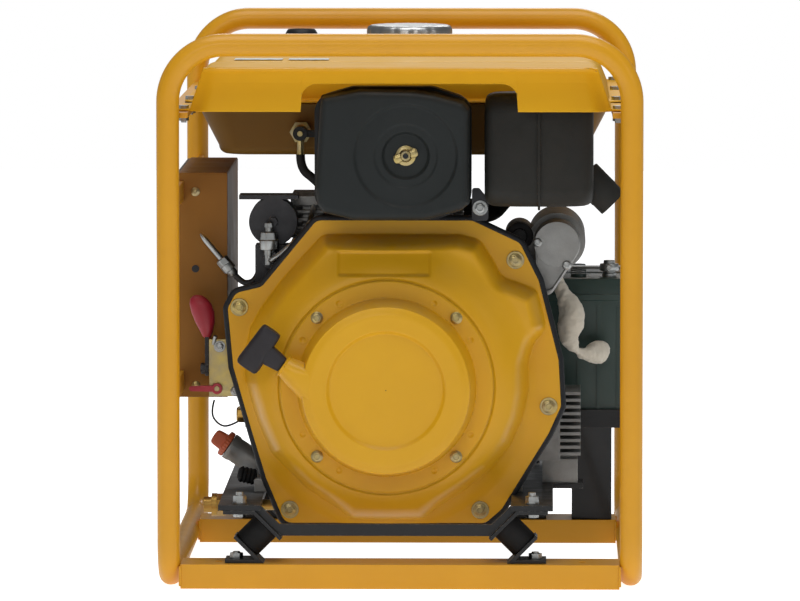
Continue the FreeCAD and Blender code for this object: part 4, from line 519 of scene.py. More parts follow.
def hex_bolt(name, at, axis, across, head, washer=0, washer_thick=1.6, flange=0, dome=True):
    """A hexagon head with a chamfered top on its washer or flange, sizes in millimetres."""
    parts = []
    at, axis = Vector(at), Vector(axis).normalized()
    if washer:
        parts.append(turned(name + "_w", [(across * 0.3, 0), (washer - 0.3, 0), (washer, 0.3),
                                          (washer, washer_thick - 0.3),
                                          (washer - 0.3, washer_thick), (across * 0.3, washer_thick)], at,
                            axis, 48))
        at = at + axis * washer_thick
    if flange:
        parts.append(turned(name + "_f", [(across * 0.3, 0), (flange, 0), (flange, 0.8), (across * 0.55, 1.8),
                                          (across * 0.3, 1.8)], at, axis, 48))
        at = at + axis * 1.2
    corner = across / math.sqrt(3)

    def lobes(radius, height, angle):
        flat = across / 2 / math.cos((angle + math.pi / 6) % (math.pi / 3) - math.pi / 6)
        return min(radius, flat)
    profile = [(corner, 0), (corner, head * 0.72), (corner * 0.94, head * 0.88), (across * 0.42, head),
               (across * 0.3, head), (across * 0.27, head - (0.5 if dome else 0)),
               (0.2, head - (0.6 if dome else 0))]
    parts.append(turned(name + "_h", profile, at, axis, 72, lobes=lobes))
    return joined(name, parts)


# ---------------------------------------------------------------- fan housing and recoil starter

def housing_edge():
    rise, drop, left, right = 181, 157, 178, 193
    shape = [(-0.444 * left, rise), (0.487 * right, rise), (0.762 * right, 0.862 * rise),
             (0.87 * right, 0.63 * rise),
             (0.985 * right, 0.144 * rise), (right, -0.135 * right), (0.927 * right, -0.363 * drop),
             (0.658 * right, -0.9 * drop), (0.565 * right, -drop), (-0.646 * left, -drop),
             (-0.764 * left, -0.675 * drop),
             (-0.966 * left, 0.094 * rise), (-left, 0.46 * rise), (-0.95 * left, 0.552 * rise),
             (-0.787 * left, 0.591 * rise)]
    return rounded([(CRANK[0] + u, CRANK[1] + v) for u, v in shape], 12)


EARS = [(-165, 84), (141.9, 137), (179, -26), (103, -142), (-109, -142)]
TUB, DOME = 34, 54
# foot of the pressed tub, from the crank axis
TUB_EDGE = [(-72, 166), (80, 166), (103, 160), (117, 138), (128, 118), (146, 112), (166, 104), (175, 84),
            (176, 60),
            (163, 44), (157, 24), (157, -8), (151, -38), (138, -68), (116, -96), (88, -118), (60, -136),
            (40, -152),
            (-40, -152), (-62, -136), (-92, -116), (-114, -94), (-130, -78), (-146, -40), (-158, 0),
            (-160, 24), (-153, 62),
            (-142, 82), (-120, 113), (-98, 138)]


def housing_height(x, z, inside, radius):
    u, v = x - CRANK[0], z - CRANK[1]
    edge = rounded(TUB_EDGE, 16)
    angles = np.linspace(-math.pi, math.pi, 1441)
    reach = ray_reach(edge, (0.0, 0.0), angles)
    within = np.interp(np.arctan2(v, u), angles, reach) - radius
    raised = np.where(within > 0, 1, -1) * edge_distance(np.stack((u, v), 1), edge)
    raised = np.minimum(raised, inside - 4)
    t = np.clip(raised / 17, 0, 1)
    lift = TUB * (1 - (1 - t) ** 2.1) * ease(raised, -0.5, 3)
    lift += (DOME - TUB) * ease(radius, 168, 119)
    lift -= 1.6 * ease(radius, 121, 119)
    full = ease(raised, 14, 20)
    panel = np.minimum(ease(u, -56, -51), ease(u, 50, 45)) * np.minimum(ease(v, 121, 126), ease(v, 151, 148))
    lift -= full * 3.0 * panel
    return lift


def fan_housing():
    edge = housing_edge()
    walls = [(0.2, 1.0), (0, 2.0)]
    obj = pressing("fan_housing_shell", edge, CRANK, 98, housing_height, -217, walls, 900, 130, 1.4)
    settle(obj, "frame", "panel_yellow", stands_for=("blower_housing",))
    flange = grown_ring("side_plate_edging", edge, 5.2, -217.6, -209)
    settle(flange, "frame", "edging_black")


def grown_ring(name, edge, out, front, back):
    """The rolled dark edging round the housing."""
    loop = [Vector(p) for p in edge]
    rings = []
    section = [(-1.5, back), (out - 1.6, back), (out, back - 1.6), (out, front + 2.2),
               (out - 0.9, front + 0.7),
               (out - 2.4, front), (0.3, front), (-0.2, front + 0.6)]
    count = len(loop)
    ways = []
    for index in range(count):
        span = (loop[(index + 1) % count] - loop[index - 1]).normalized()
        ways.append(Vector((span.y, -span.x)))
    if signed_area(loop) < 0:
        ways = [-way for way in ways]
    for reach, depth in section:
        rings.append([((p + way * reach).x, depth, (p + way * reach).y) for p, way in zip(loop, ways)])
    rings.append(rings[0])
    return loft(name, rings, cap=False)


def recoil():
    flange = 118
    front = -271

    def radial(r):
        """Height of the pressing above its flange's back, along a radius."""
        lift = 2.0 + 41.5 * ease(r, 99.5, 91.5) + 2.5 * ease(r, 92.5, 82) - 4.0 * ease(r, 66.5, 61.5)
        return np.minimum(lift, 46)
    columns = 720
    radii = np.concatenate((np.linspace(0.6, 60, 22), np.linspace(60.5, 68, 14), np.linspace(69, 90, 12),
                            np.linspace(90.5, 100, 26), np.linspace(100.8, flange, 24)))
    angles = np.linspace(0, 2 * math.pi, columns, endpoint=False)
    grid_r, grid_a = np.meshgrid(radii, angles, indexing="ij")
    x, z = CRANK[0] + grid_r * np.cos(grid_a), CRANK[1] + grid_r * np.sin(grid_a)
    lift = radial(grid_r)
    for spot in range(8):
        way = math.radians(22.5 + 45 * spot + (-7 if spot % 2 else 7))
        away = np.hypot(grid_r * np.cos(grid_a) - 106.5 * math.cos(way),
                        grid_r * np.sin(grid_a) - 106.5 * math.sin(way))
        lift = lift - 1.0 * ease(away, 3.4, 1.6) + 0.35 * np.exp(-((away - 4.0) / 0.8) ** 2)
    rim = ease(grid_r, flange + 0.01, flange - 1.4)
    lift = lift * np.where(grid_r > flange - 1.4, 0.3 + 0.7 * rim, 1)
    points = np.stack((x, front - lift, z), -1)
    back = points[-1].copy()
    back[:, 1] = front
    everything = np.concatenate((points, back[None]))
    obj = mesh_object("recoil_cover_pressing", everything.reshape(-1, 3) * MM,
                      ring_faces(len(everything), columns))
    smooth(obj, 60)
    # the hood that the rope comes out of
    root = Vector((CRANK[0] - 88, -301, CRANK[1] + 9))
    pull = Vector((-0.82, 0, 0.57)).normalized()
    hood = turned("hood", [(21, -16), (19.5, -4), (17.2, 8), (15.0, 18), (12.6, 26), (12.0, 28.6),
                           (12.9, 29.6),
                           (12.9, 30.8), (12.0, 31.4), (9.2, 31.0), (8.2, 28), (4.0, 22), (3.9, 12)],
                  root, pull, 64, cap=False)
    for v in hood.data.vertices:
        v.co.y = min(v.co.y, -272 * MM)
        v.co.y = max(v.co.y, -316.5 * MM)
    settle(joined("recoil_cover_shell", [obj, hood]), "frame", "panel_yellow", stands_for=("recoil_cover",))
    pulling_handle(root, pull)


def pulling_handle(root, pull):
    """A moulded T-grip: square stem, block and cross bar with soft edges."""
    across = Vector((0.57, 0, 0.82)).normalized()
    deep = pull.cross(across).normalized()

    angles = [2 * math.pi * step / 32 for step in range(32)]
    rings = []
    for reach, wide, thick in ((31.5, 0.62, 0.7), (32, 0.72, 0.8), (34, 0.78, 0.86), (46, 0.92, 0.95),
                               (52, 1.0, 1.0),
                               (56, 1.0, 1.0)):
        rings.append([root + pull * reach + wide * 11.5 * squarish(math.cos(a), 0.42) * across +
                      thick * 10.5 * squarish(math.sin(a), 0.42) * deep for a in angles])
    stem = loft("stem", rings)
    # the T bar runs across the pull, thicker at its lower end
    rings = []
    for reach, w in ((-26, 0.6), (-25.4, 0.86), (-23.5, 0.98), (-19, 1.04), (-8, 1.0), (8, 0.95), (19, 0.92),
                     (23.5, 0.88), (25.4, 0.78), (26, 0.55)):
        rings.append([root + pull * 63 + across * reach + pull * (13.2 * w * squarish(math.cos(a), 0.5)) +
                      deep * (12.4 * w * squarish(math.sin(a), 0.5)) for a in angles])
    grip = loft("grip", rings)
    settle(joined("recoil_grip", [stem, grip]), "starter_grip", "grip_plastic",
           ("recoil_handle",))
    rope = tube("recoil_rope_end", [root + pull * k for k in (6, 14, 22, 30, 38)], 2.4, 20)
    settle(rope, "starter_grip", "rope")


def housing_bolts():
    parts = []
    for number, (u, v) in enumerate(EARS):
        parts.append(hex_bolt(f"ear_{number}", (CRANK[0] + u, -217, CRANK[1] + v), (0, -1, 0), 10, 4.0, 9.9,
                              1.7,
                              flange=7.4))
    for number, (a, b) in enumerate(((1, 1), (1, -1), (-1, 1), (-1, -1))):
        parts.append(hex_bolt(f"cover_{number}", (CRANK[0] + a * 76.85, -273, CRANK[1] + b * 76.85),
                              (0, -1, 0), 10, 4.2,
                              flange=6.8))
    washer = turned("dish_washer", [(3.4, 0), (10.6, 0), (11, 0.3), (11, 1.3), (10.6, 1.6), (3.4, 1.6)],
                    (DISH[0], -317, DISH[1]), (0, -1, 0), 48)
    parts.append(washer)
    settle(joined("engine_bolt_set", parts), "frame", "yellow_zinc", ("engine_bolts",))


# ---------------------------------------------------------------- air cleaner

def cleaner_cover():
    left, right, low, high = -95.5, 77.5, 402, 548
    outline = rounded([(-93.1, 420.5), (-85.4, 410.2), (-50.1, low), (28.6, low + 0.6), (66.5, 412.7),
                       (76.7, 420.5),
                       (right, 525.8), (70.4, 534.7), (37.4, 543.5), (15.9, 546.7), (-43.7, high),
                       (-87.9, 539.8),
                       (-89.8, 529.6), (left, 438.2)], 5, 4)

    def height(x, z, inside, radius):
        edge = 8
        t = np.clip(inside / edge, 0, 1)
        lift = 56 - edge + edge * np.sqrt(np.clip(1 - (1 - t) ** 2, 0, 1))
        lift -= 3.0 * ease(radius, 58, 54)
        lift -= 1.5 * ease(radius, 36, 33)
        lift -= 4.5 * ease(radius, 27, 23)
        return np.maximum(lift, 0)
    walls = [(0.6, 7), (0.9, 24), (1.0, 45), (2.4, 46.4), (2.4, 52)]
    # the front starts inside the outline, so that the walls step out only as far as the CAD cover reaches
    obj = pressing("air_cleaner_lid", shrink(outline, 2.4), DISH, 3.5, height, -270, walls, 480, 90, 0)
    settle(obj, "frame", "cover_slate", ("air_cleaner_cover",))


def shrink(outline, by):
    """The outline moved inwards."""
    loop = [Vector(p) for p in outline]
    count = len(loop)
    area = signed_area(loop)
    out = []
    for index in range(count):
        span = (loop[(index + 1) % count] - loop[index - 1])
        if span.length < 1e-9:
            continue
        span.normalize()
        way = Vector((-span.y, span.x)) if area > 0 else Vector((span.y, -span.x))
        out.append(tuple(loop[index] + way * by))
    return out


def wing_nut():
    centre = Vector((DISH[0], -317.4, DISH[1]))
    turn = math.radians(-20)
    wing_way = Vector((math.cos(turn), 0, -math.sin(turn)))
    up = Vector((math.sin(turn), 0, math.cos(turn)))
    hub = turned("hub", [(3.1, 1.2), (7.2, 1.2), (7.4, 2.0), (6.0, 6.6), (5.2, 8.0), (3.1, 8.2)], centre,
                 (0, -1, 0), 40)
    parts = [hub]
    for side in (-1, 1):
        rings = []
        for reach, tall, thick, rise in ((4.0, 4.2, 2.6, 4.0), (7.0, 4.6, 2.0, 4.6), (10.0, 5.2, 1.6, 5.0),
                                         (12.6, 4.4, 1.3, 5.2), (13.6, 2.6, 0.9, 5.2)):
            ring = []
            for step in range(20):
                angle = 2 * math.pi * step / 20
                ring.append(centre + wing_way * side * reach +
                            Vector((0, -1, 0)) * (rise + thick * math.sin(angle)) +
                            up * (tall * math.cos(angle)))
            rings.append(ring)
        parts.append(loft(f"wing_{side}", rings))
    settle(joined("wing_nut_casting", parts), "wing_nut_body", "yellow_zinc", stands_for=("wing_nut",))


# ---------------------------------------------------------------- frame

def hoops():
    for name, y in (("front_hoop", -LEG_Y), ("rear_hoop", LEG_Y)):
        settle(tube(name + "_tube", hoop_path(y), TUBE_RADIUS, 40), "frame", "frame_yellow",
               stands_for=(name,))


def hoop_path(y):
    """Skid end, foot bend, leg, top bend, top, and back down."""
    def arc(centre, start, axis, sweep, steps):
        return [centre + Matrix.Rotation(sweep * k / steps, 3, axis) @ start for k in range(steps + 1)]
    sign = math.copysign(1, y)
    foot, top = 45, 62
    inward = Vector((0, -sign, 0))
    half = []
    low = Vector((-LEG_X, y, TUBE_RADIUS))
    half.append(low + inward * (foot + 0.5))
    centre = low + inward * foot + Vector((0, 0, foot))
    start = Vector((0, 0, -foot))
    axis = Vector((sign, 0, 0))
    half += arc(centre, start, axis, math.pi / 2, 14)
    half.append(Vector((-LEG_X, y, TOP_BAR - top)))
    centre = Vector((-LEG_X + top, y, TOP_BAR - top))
    half += arc(centre, Vector((-top, 0, 0)), Vector((0, 1, 0)), math.pi / 2, 22)[1:]
    mirror = [Vector((-p.x, p.y, p.z)) for p in reversed(half)]
    return half + mirror


# ---------------------------------------------------------------- tank and its fittings

def oblong(half_x, y_front, y_back, z, corner, steps=8, x_mid=0.0):
    """A ring of a rounded rectangle in plan."""
    out = rounded([(x_mid - half_x, y_front), (x_mid + half_x, y_front), (x_mid + half_x, y_back),
                   (x_mid - half_x, y_back)], corner, steps)
    return [(x, y, z) for x, y in out]


def tank():
    front, back = -160, 322
    rings = [oblong(231, front, back, 525, 30), oblong(230.6, front, back, 529, 30)]
    for share in (0, 0.12, 0.28, 0.45, 0.62, 0.78, 0.9, 1.0):
        turn = share * math.pi / 2
        inset = 16 * (1 - math.cos(turn))
        rise = 16 * math.sin(turn)
        rings.append(oblong(218 - inset + (231 - 218) * (1 - share) * 0.2, front + inset * 0.9 + 4,
                            back - inset * 0.9 - 4,
                            554 + rise, 30 - inset * 0.3))
    rings.append(oblong(150, front + 70, back - 70, 570.8, 30))
    rings.append(oblong(20, 60, 80, TANK_TOP, 8))
    upper = loft("upper", rings)
    lip = loft("lip", [oblong(231, front - 1, back + 1, 525.2, 30),
                       oblong(244.2, front - 13, back + 13, 525.2, 34),
                       oblong(245, front - 14, back + 14, 525.8, 34),
                       oblong(244.2, front - 13, back + 13, 527, 34),
                       oblong(233, front - 1, back + 1, 527.2, 30),
                       oblong(229.5, front, back, 529.5, 30)],
               cap=False)
    neck = turned("neck", [(37, 2), (37, 22.8), (38, 23.8), (39, 23.8), (39.4, 22), (39.4, 4), (42, 1.2),
                           (47, -0.4)],
                  (3, 70, TANK_TOP), (0, 0, 1), 72, cap=False)
    settle(joined("tank_upper_pressing", [upper, lip, neck]), "frame", "tank_yellow",
           stands_for=("tank_upper_shell",))
    rings = [oblong(244.2, front - 13, back + 13, 524.8, 34), oblong(245, front - 14, back + 14, 524, 34),
             oblong(244.2, front - 13, back + 13, 523.2, 34), oblong(231, front, back, 523, 30),
             oblong(229, front + 1, back - 1, 518, 30)]
    for share in (0, 0.2, 0.4, 0.6, 0.8, 1.0):
        turn = share * math.pi / 2
        inset = 10 * (1 - math.cos(turn))
        rings.append(oblong(207 - inset, front + 3 + inset * 0.8, back - 3 - inset * 0.8,
                            476 - 10 * math.sin(turn), 26))
    rings.append(oblong(60, front + 130, back - 130, 466, 30))
    lower = loft("lower", rings)
    channel = loft("channel", [oblong(h, -40, 200, z, 14)
                               for h, z in ((52, 466.4), (50, 466.1), (46, 469), (20, 469))])
    # the lower shell wears the tank's yellow enamel darkened as painted shade
    settle(joined("tank_lower_pressing", [lower, channel]), "frame", "tank_yellow_painted_shade",
           ("tank_lower_shell",))
    for number, (x0, x1) in enumerate(((-190, -136), (-129, -84))):
        mesh = bmesh.new()
        bmesh.ops.create_grid(mesh, x_segments=12, y_segments=6, size=0.5)
        for v in mesh.verts:
            x, y = (x0 + x1) / 2 + v.co.x * (x1 - x0), -112 + v.co.y * 34
            v.co = Vector((x, y, 571.25 + 0.1 * math.sin(x))) * MM
        strip = from_bmesh(f"blank_label_{number}", mesh)
        settle(strip, "frame", "label_white")


def skirt():
    """The pressed cover in front of the tank: upright band, slanted lower panel, arch and rolled ends."""
    columns = np.unique(np.concatenate((np.linspace(-245, 245, 197), (-109, 129, -91, 111))))
    top, low = TANK_TOP, 523.4

    def half_at(z):
        return 231 - 15 * (z - 525) / 46

    def arch(x):
        left, right, crown, r = -109, 129, 554, 18
        if x <= left or x >= right:
            return low
        reach = min(x - left, right - x)
        if reach >= r:
            return crown
        return crown - r + math.sqrt(max(r * r - (r - reach) ** 2, 0))
    rows = 46

    def face(x, z):
        """How far forward the sheet stands."""
        y = -319.0
        end = ease(np.array(half_at(z) - abs(x)), -2, 22)
        slant = np.clip((555 - z) / 30, 0, 1)
        y -= 8.0 * slant * end
        y += 7.0 * (1 - end) ** 1.6
        roll = np.clip((z - (top - 7)) / 7, 0, 1)
        y += 7 * (1 - math.sqrt(max(1 - float(roll) ** 2, 0)))
        return float(y)
    points, faces = [], []
    for x in columns:
        reach = max(-1, min(1, x / 245))
        for row in range(rows):
            share = row / (rows - 1)
            z = arch(x) + (top - arch(x)) * share
            edge = half_at(z)
            px = max(-edge, min(edge, x)) if abs(x) > 216 else x
            points.append(Vector((px, face(px, z), z)) * MM)
    count = len(columns)
    for column in range(count - 1):
        for row in range(rows - 1):
            a = column * rows + row
            faces.append((a, a + rows, a + rows + 1, a + 1))
    sheet_front = mesh_object("front", points, faces)
    # the roof back to the tank and the two slanted ends
    strips = []
    profile = [(-245 + 0.8, 523.6), (-245, 524.4), (-244.4, 525.2), (-232, 525.4), (-230.6, 526.6),
               (-226, 541), (-221, 556),
               (-218.5, 564), (-215, 569), (-210, 571), (-180, 571), (-100, 571), (0, 571), (100, 571),
               (180, 571),
               (210, 571), (215, 569), (218.5, 564), (221, 556), (226, 541), (230.6, 526.6), (232, 525.4),
               (244.4, 525.2), (245, 524.4), (244.2, 523.6)]
    stations = (-312, -300, -280, -250, -220, -195, -177, -175)
    points = [Vector((x, y, z - (1.5 if y == -175 else 0))) * MM for y in stations for x, z in profile]
    width = len(profile)
    faces = [(r * width + c, r * width + c + 1, (r + 1) * width + c + 1, (r + 1) * width + c)
             for r in range(len(stations) - 1) for c in range(width - 1)]
    strips.append(mesh_object("roof", points, faces))
    whole = joined("tank_skirt_pressing", [sheet_front] + strips)
    item = whole.modifiers.new("sheet", "SOLIDIFY")
    item.thickness = 1.6 * MM
    item.offset = -1
    settle(whole, "frame", "tank_yellow", stands_for=("tank_front_skirt",))


def tank_fittings():
    def scallop(radius, height, angle):
        if radius < 44:
            return radius
        return radius - 1.0 * (0.5 + 0.5 * math.cos(angle * 14)) ** 3 * (1 if -14.5 < height < 3.4 else 0.4)
    cap = turned("filler_cap_pressing", [(40.2, -15), (47.5, -15), (49, -14), (49, 0.5), (48.4, 3.2),
                                         (46.6, 5.4),
                                         (43.5, 6.6), (38, 7.0), (30, 6.2), (20, 5.8), (8, 5.8), (1, 5.8)],
                 (3, 70, 595.4), (0, 0, 1), 224, lobes=scallop, cap=False)
    seal = turned("seal", [(41, -15), (39.6, -12), (39.6, -1), (1, -1)], (3, 70, 595.4), (0, 0, 1), 96,
                  cap=False)
    settle(joined("filler_cap_shell", [cap, seal]), "fuel_cap_body", "chrome", stands_for=("fuel_cap",))
    gauge = turned("gauge_bezel", [(12, -20), (15, -20), (15, 0.2), (18.6, 0.2), (19, 0.8), (19, 18),
                                   (18.4, 21),
                                   (16.4, 24.6), (15, 26), (13.6, 26), (13.2, 23.4), (1, 23.0)],
                   (-121, 70, TANK_TOP), (0, 0, 1), 96, cap=False)
    settle(gauge, "frame", "black_plastic", ("fuel_gauge",))


# ---------------------------------------------------------------- muffler

def muffler():
    mid_y, mid_z = -236.0, 478.0
    half_y, half_z = 56.0, 62.0

    def section(x, scale_y, scale_z, corner, steps=8):
        out = rounded([(mid_y - half_y * scale_y, mid_z - half_z * scale_z),
                       (mid_y + half_y * scale_y, mid_z - half_z * scale_z),
                       (mid_y + half_y * scale_y, mid_z + half_z * scale_z),
                       (mid_y - half_y * scale_y, mid_z + half_z * scale_z)], corner, steps)
        return [(x, y, z) for y, z in out]
    rings = []
    for x, s, corner in ((92, 0.78, 16), (92.5, 0.86, 18), (94, 0.92, 20), (97, 0.96, 21), (102, 0.985, 21),
                         (110, 0.995, 21), (130, 1.0, 20), (149.6, 1.0, 20)):
        rings.append(section(x, s, s, corner))
    rings += [section(150.6, 1.0, 1.0, 20), section(150.6, 1.06, 1.055, 22), section(151.2, 1.066, 1.062, 22),
              section(152.8, 1.066, 1.062, 22), section(153.4, 1.06, 1.055, 22), section(153.4, 1.0, 1.0, 20)]
    for x, s, corner in ((154.4, 1.0, 20), (175, 1.0, 20), (194, 0.995, 21), (202, 0.985, 21),
                         (207, 0.96, 21),
                         (210, 0.92, 20), (211.5, 0.86, 18), (212, 0.78, 16)):
        rings.append(section(x, s, s, corner))
    body = loft("body", rings)
    way = Vector((1, 0, -1)).normalized()
    root = Vector((203, -236, 449))
    outlet = turned("outlet", [(2, -0.5), (17, -0.5), (18, 0.4), (18, 29.4), (17.5, 30), (17.5, 43.4),
                               (17.1, 44),
                               (16.2, 44), (15.9, 43), (15.9, 6), (2, 6)], root, way, 72, cap=False)
    path = bent([(67, -70, 398), (97, -70, 398), (123, -100, 430), (133, -136, 446), (133, -182, 446)], 16, 8)
    elbow_pipe = tube("elbow", path, 13.8, 32)
    flange = turned("flange", [(13.8, 0), (24, 0), (24.6, 0.6), (24.6, 6.4), (24, 7), (13.8, 7)],
                    (133, -187.5, 446), (0, 1, 0),
                    64)
    studs = [hex_bolt(f"stud_{k}", (133 + 19 * c, -180.4, 446 + 19 * s), (0, 1, 0), 7, 4)
             for k, (c, s) in enumerate(((0.9, 0.4), (-0.9, -0.4)))]
    settle(joined("muffler_shell", [body, outlet, elbow_pipe, flange] + studs), "frame", "muffler_black",
           stands_for=("muffler",))


# ---------------------------------------------------------------- flexible lines

def nurbs(name, points):
    """The route's curve, with the same points as the CAD route."""
    data = bpy.data.curves.new(name, "CURVE")
    data.dimensions = "3D"
    data.resolution_u = 16
    spline = data.splines.new("NURBS")
    spline.points.add(len(points) - 1)
    for item, point in zip(spline.points, points):
        item.co = (*(Vector(point) * MM), 1)
    spline.order_u = 3
    spline.use_endpoint_u = True
    return link(bpy.data.objects.new(name, data))


def route_points(curve):
    """Points read from the evaluated curve, in millimetres."""
    data = bpy.data.meshes.new_from_object(curve)
    points = [v.co / MM for v in data.vertices]
    bpy.data.meshes.remove(data)
    return points


def hose(node, points, radius):
    curve = nurbs(node + "_line", points)
    curve.data.bevel_depth = radius * MM
    curve.data.bevel_resolution = 6
    curve.data.use_fill_caps = True
    for spline in curve.data.splines:
        spline.use_smooth = True
    settle(curve, "frame", SLOT_OF[node], (node,))


def harness():
    points = [(172, -84, 336.7), (172, -84, 315), (192, -88, 285), (184, -84, 255), (196, -62, 235),
              (216, -38, 233),
              (224, -20, 237), (224, 1.7, 237)]
    curve = nurbs("route", points)
    path = route_points(curve)
    bpy.data.objects.remove(curve)

    def radius(t):
        sack = 9.0 * math.exp(-((t - 0.30) / 0.17) ** 2) + 8.0 * math.exp(-((t - 0.80) / 0.12) ** 2)
        return 5.2 + sack - 2.2 * math.exp(-((t - 0.56) / 0.05) ** 2)
    dense = []
    for one, two in zip(path, path[1:]):
        dense += [one.lerp(two, k / 3) for k in range(3)]
    dense.append(path[-1])
    wrap = tube("harness_wrap", dense, radius, 40)
    mesh = bmesh.new()
    mesh.from_mesh(wrap.data)
    for v in mesh.verts:
        p = v.co * 1000
        push = 1.6 * noise.noise(p * 0.09) + 0.9 * noise.noise(p * 0.25 + Vector((4, 2, 1)))
        v.co += v.normal * push * MM
    mesh.to_mesh(wrap.data)
    mesh.free()
    settle(smooth(wrap, 80), "frame", "foam_wrap", stands_for=("wiring_harness",))
    tie = turned("harness_tie", [(4.4, -3), (5.6, -3), (5.9, -1), (5.9, 1), (5.6, 3), (4.4, 3)],
                 (186, -80, 252),
                 (0.35, 0.6, -0.8), 32)
    settle(tie, "frame", "blue_tape")


# ---------------------------------------------------------------- engine side pieces

def add_piece(name, parts, body, look, stands_for=()):
    return settle(joined(name, parts if isinstance(parts, list) else [parts]), body, look, stands_for)


def end_cover_details():
    """Cast boss, rim and ribs on the alternator's end cover, with its four bolts."""
    centre, out = Vector((CRANK[0], 304, CRANK[1])), Vector((0, 1, 0))
    parts = [turned("boss", [(36, -0.5), (36, 3), (34.5, 4.5), (26, 5), (24, 9), (22.5, 10.5), (1, 10.5)],
                    centre, out),
             turned("rim", [(104, -0.5), (105.5, 2), (107, 2.6), (118, 2.6), (119.5, 2), (121, -0.5)], centre,
                    out, 128,
                    cap=False)]
    for number in range(8):
        angle = math.tau * (number + 0.5) / 8
        way = Vector((math.cos(angle), 0, math.sin(angle)))
        parts.append(tube(f"rib_{number}", [centre + way * reach for reach in (30, 60, 90, 108)], 3, 16))
    add_piece("end_cover_casting", parts, "frame", "cast_alu")
    bolts = []
    for number in range(4):
        angle = math.tau * number / 4
        at = centre + out * 2.6 + Vector((math.cos(angle), 0, math.sin(angle))) * 112.5
        bolts.append(hex_bolt(f"cover_bolt_{number}", at, out, 10, 4.5, 8, 1.4))
    add_piece("end_cover_bolts", bolts, "frame", "zinc_steel")


def starter_nose():
    big, small = Vector((172, 369)), Vector((159, 322))
    outline = []
    way = (small - big).normalized()
    base = math.atan2(way.y, way.x)
    for centre, radius, start, end in ((big, 26.0, base + 1.25, base + 2 * math.pi - 1.25),
                                       (small, 11.0, base - 1.25, base + 1.25)):
        for step in range(25):
            angle = start + (end - start) * step / 24
            outline.append((centre.x + radius * math.cos(angle), centre.y + radius * math.sin(angle)))
    rings = []
    middle = Vector((168, 358))
    for y, scale in ((-149.6, 0.98), (-150, 1.0), (-186, 1.0), (-192, 0.975), (-194.6, 0.93), (-195, 0.9),
                     (-194.6, 0.87),
                     (-191.4, 0.84), (-191.0, 0.7), (-191.6, 0.4), (-191.8, 0.15)):
        rings.append([(middle.x + (x - middle.x) * scale, y, middle.y + (z - middle.y) * scale) for x,
                      z in outline])
    parts = [loft("nose", rings)]
    for number, (x, z) in enumerate(((150.5, 371), (183, 346))):
        parts.append(turned(f"boss_{number}", [(5.8, -6), (5.8, 1.4), (5.2, 2), (0.5, 2)], (x, -192, z),
                            (0, -1, 0), 32))
    add_piece("starter_nose_casting", parts, "frame", "cast_alu")
    bolts = [hex_bolt(f"nose_bolt_{n}", (x, -194, z), (0, -1, 0), 7.4, 3.4, flange=5.2)
             for n, (x, z) in enumerate(((150.5, 371), (183, 346)))]
    add_piece("starter_nose_bolts", bolts, "frame", "zinc_steel")
    cap = turned("solenoid_cap", [(16.2, 0), (16.2, 8), (14.5, 11), (9, 12), (8, 16), (4, 16.5), (0.5, 16.5)],
                 (130, -141, 375), (0, -1, 0), 48)
    add_piece("solenoid_cap", cap, "frame", "cable_black")


def battery_piece():
    left, right, front, back, low = 138, 256, 2, 192, 148
    mid, half = (left + right) / 2, (right - left) / 2

    def ring(z, inset, corner=9):
        return oblong(half - inset, front + inset, back - inset, z, corner, 5, mid)
    rings = [ring(low, 5), ring(low + 0.6, 3), ring(low + 5, 2.2), ring(290, 1.2), ring(291, 0.0),
             ring(297, 0.0),
             ring(298, 1.4), ring(312, 1.6), ring(315, 2.6), ring(316, 5)]
    parts = [loft("case", rings)]
    for number in range(5):
        x = left + 14 + number * 22.5
        bar = rounded([(x - 1.6, low + 12), (x + 1.6, low + 12), (x + 1.6, 284), (x - 1.6, 284)], 1.4, 3)
        parts.append(loft(f"rib_{number}", [[(a, y, b) for a, b in bar]
                                            for y in (front + 3.4, front + 0.9, front + 0.5)]))
    for number in range(6):
        parts.append(turned(f"cell_{number}", [(9, -1), (9, 3), (8.4, 3.8), (5, 3.8), (4.4, 2.8), (0.4, 2.8)],
                            (mid, front + 22 + number * 29, 316), (0, 0, 1), 32))
    add_piece("battery_moulding", parts, "frame", "battery_case", stands_for=("battery",))
    posts = []
    for x in (left + 24, right - 24):
        posts.append(turned("post", [(8, -5), (8, 0), (7, 1), (6.4, 14.6), (6, 15), (0.5, 15)],
                            (x, front + 24, 320), (0, 0, 1), 40))
        posts.append(turned("clamp", [(7.2, 3), (10.4, 3), (10.8, 3.6), (10.8, 10.4), (10.4, 11), (7.2, 11)],
                            (x, front + 24, 320), (0, 0, 1), 40))
        posts.append(hex_bolt("clamp_bolt", (x, front + 13.8, 327), (0, -1, 0), 7, 3.4))
    add_piece("battery_terminals", posts, "frame", "zinc_steel")


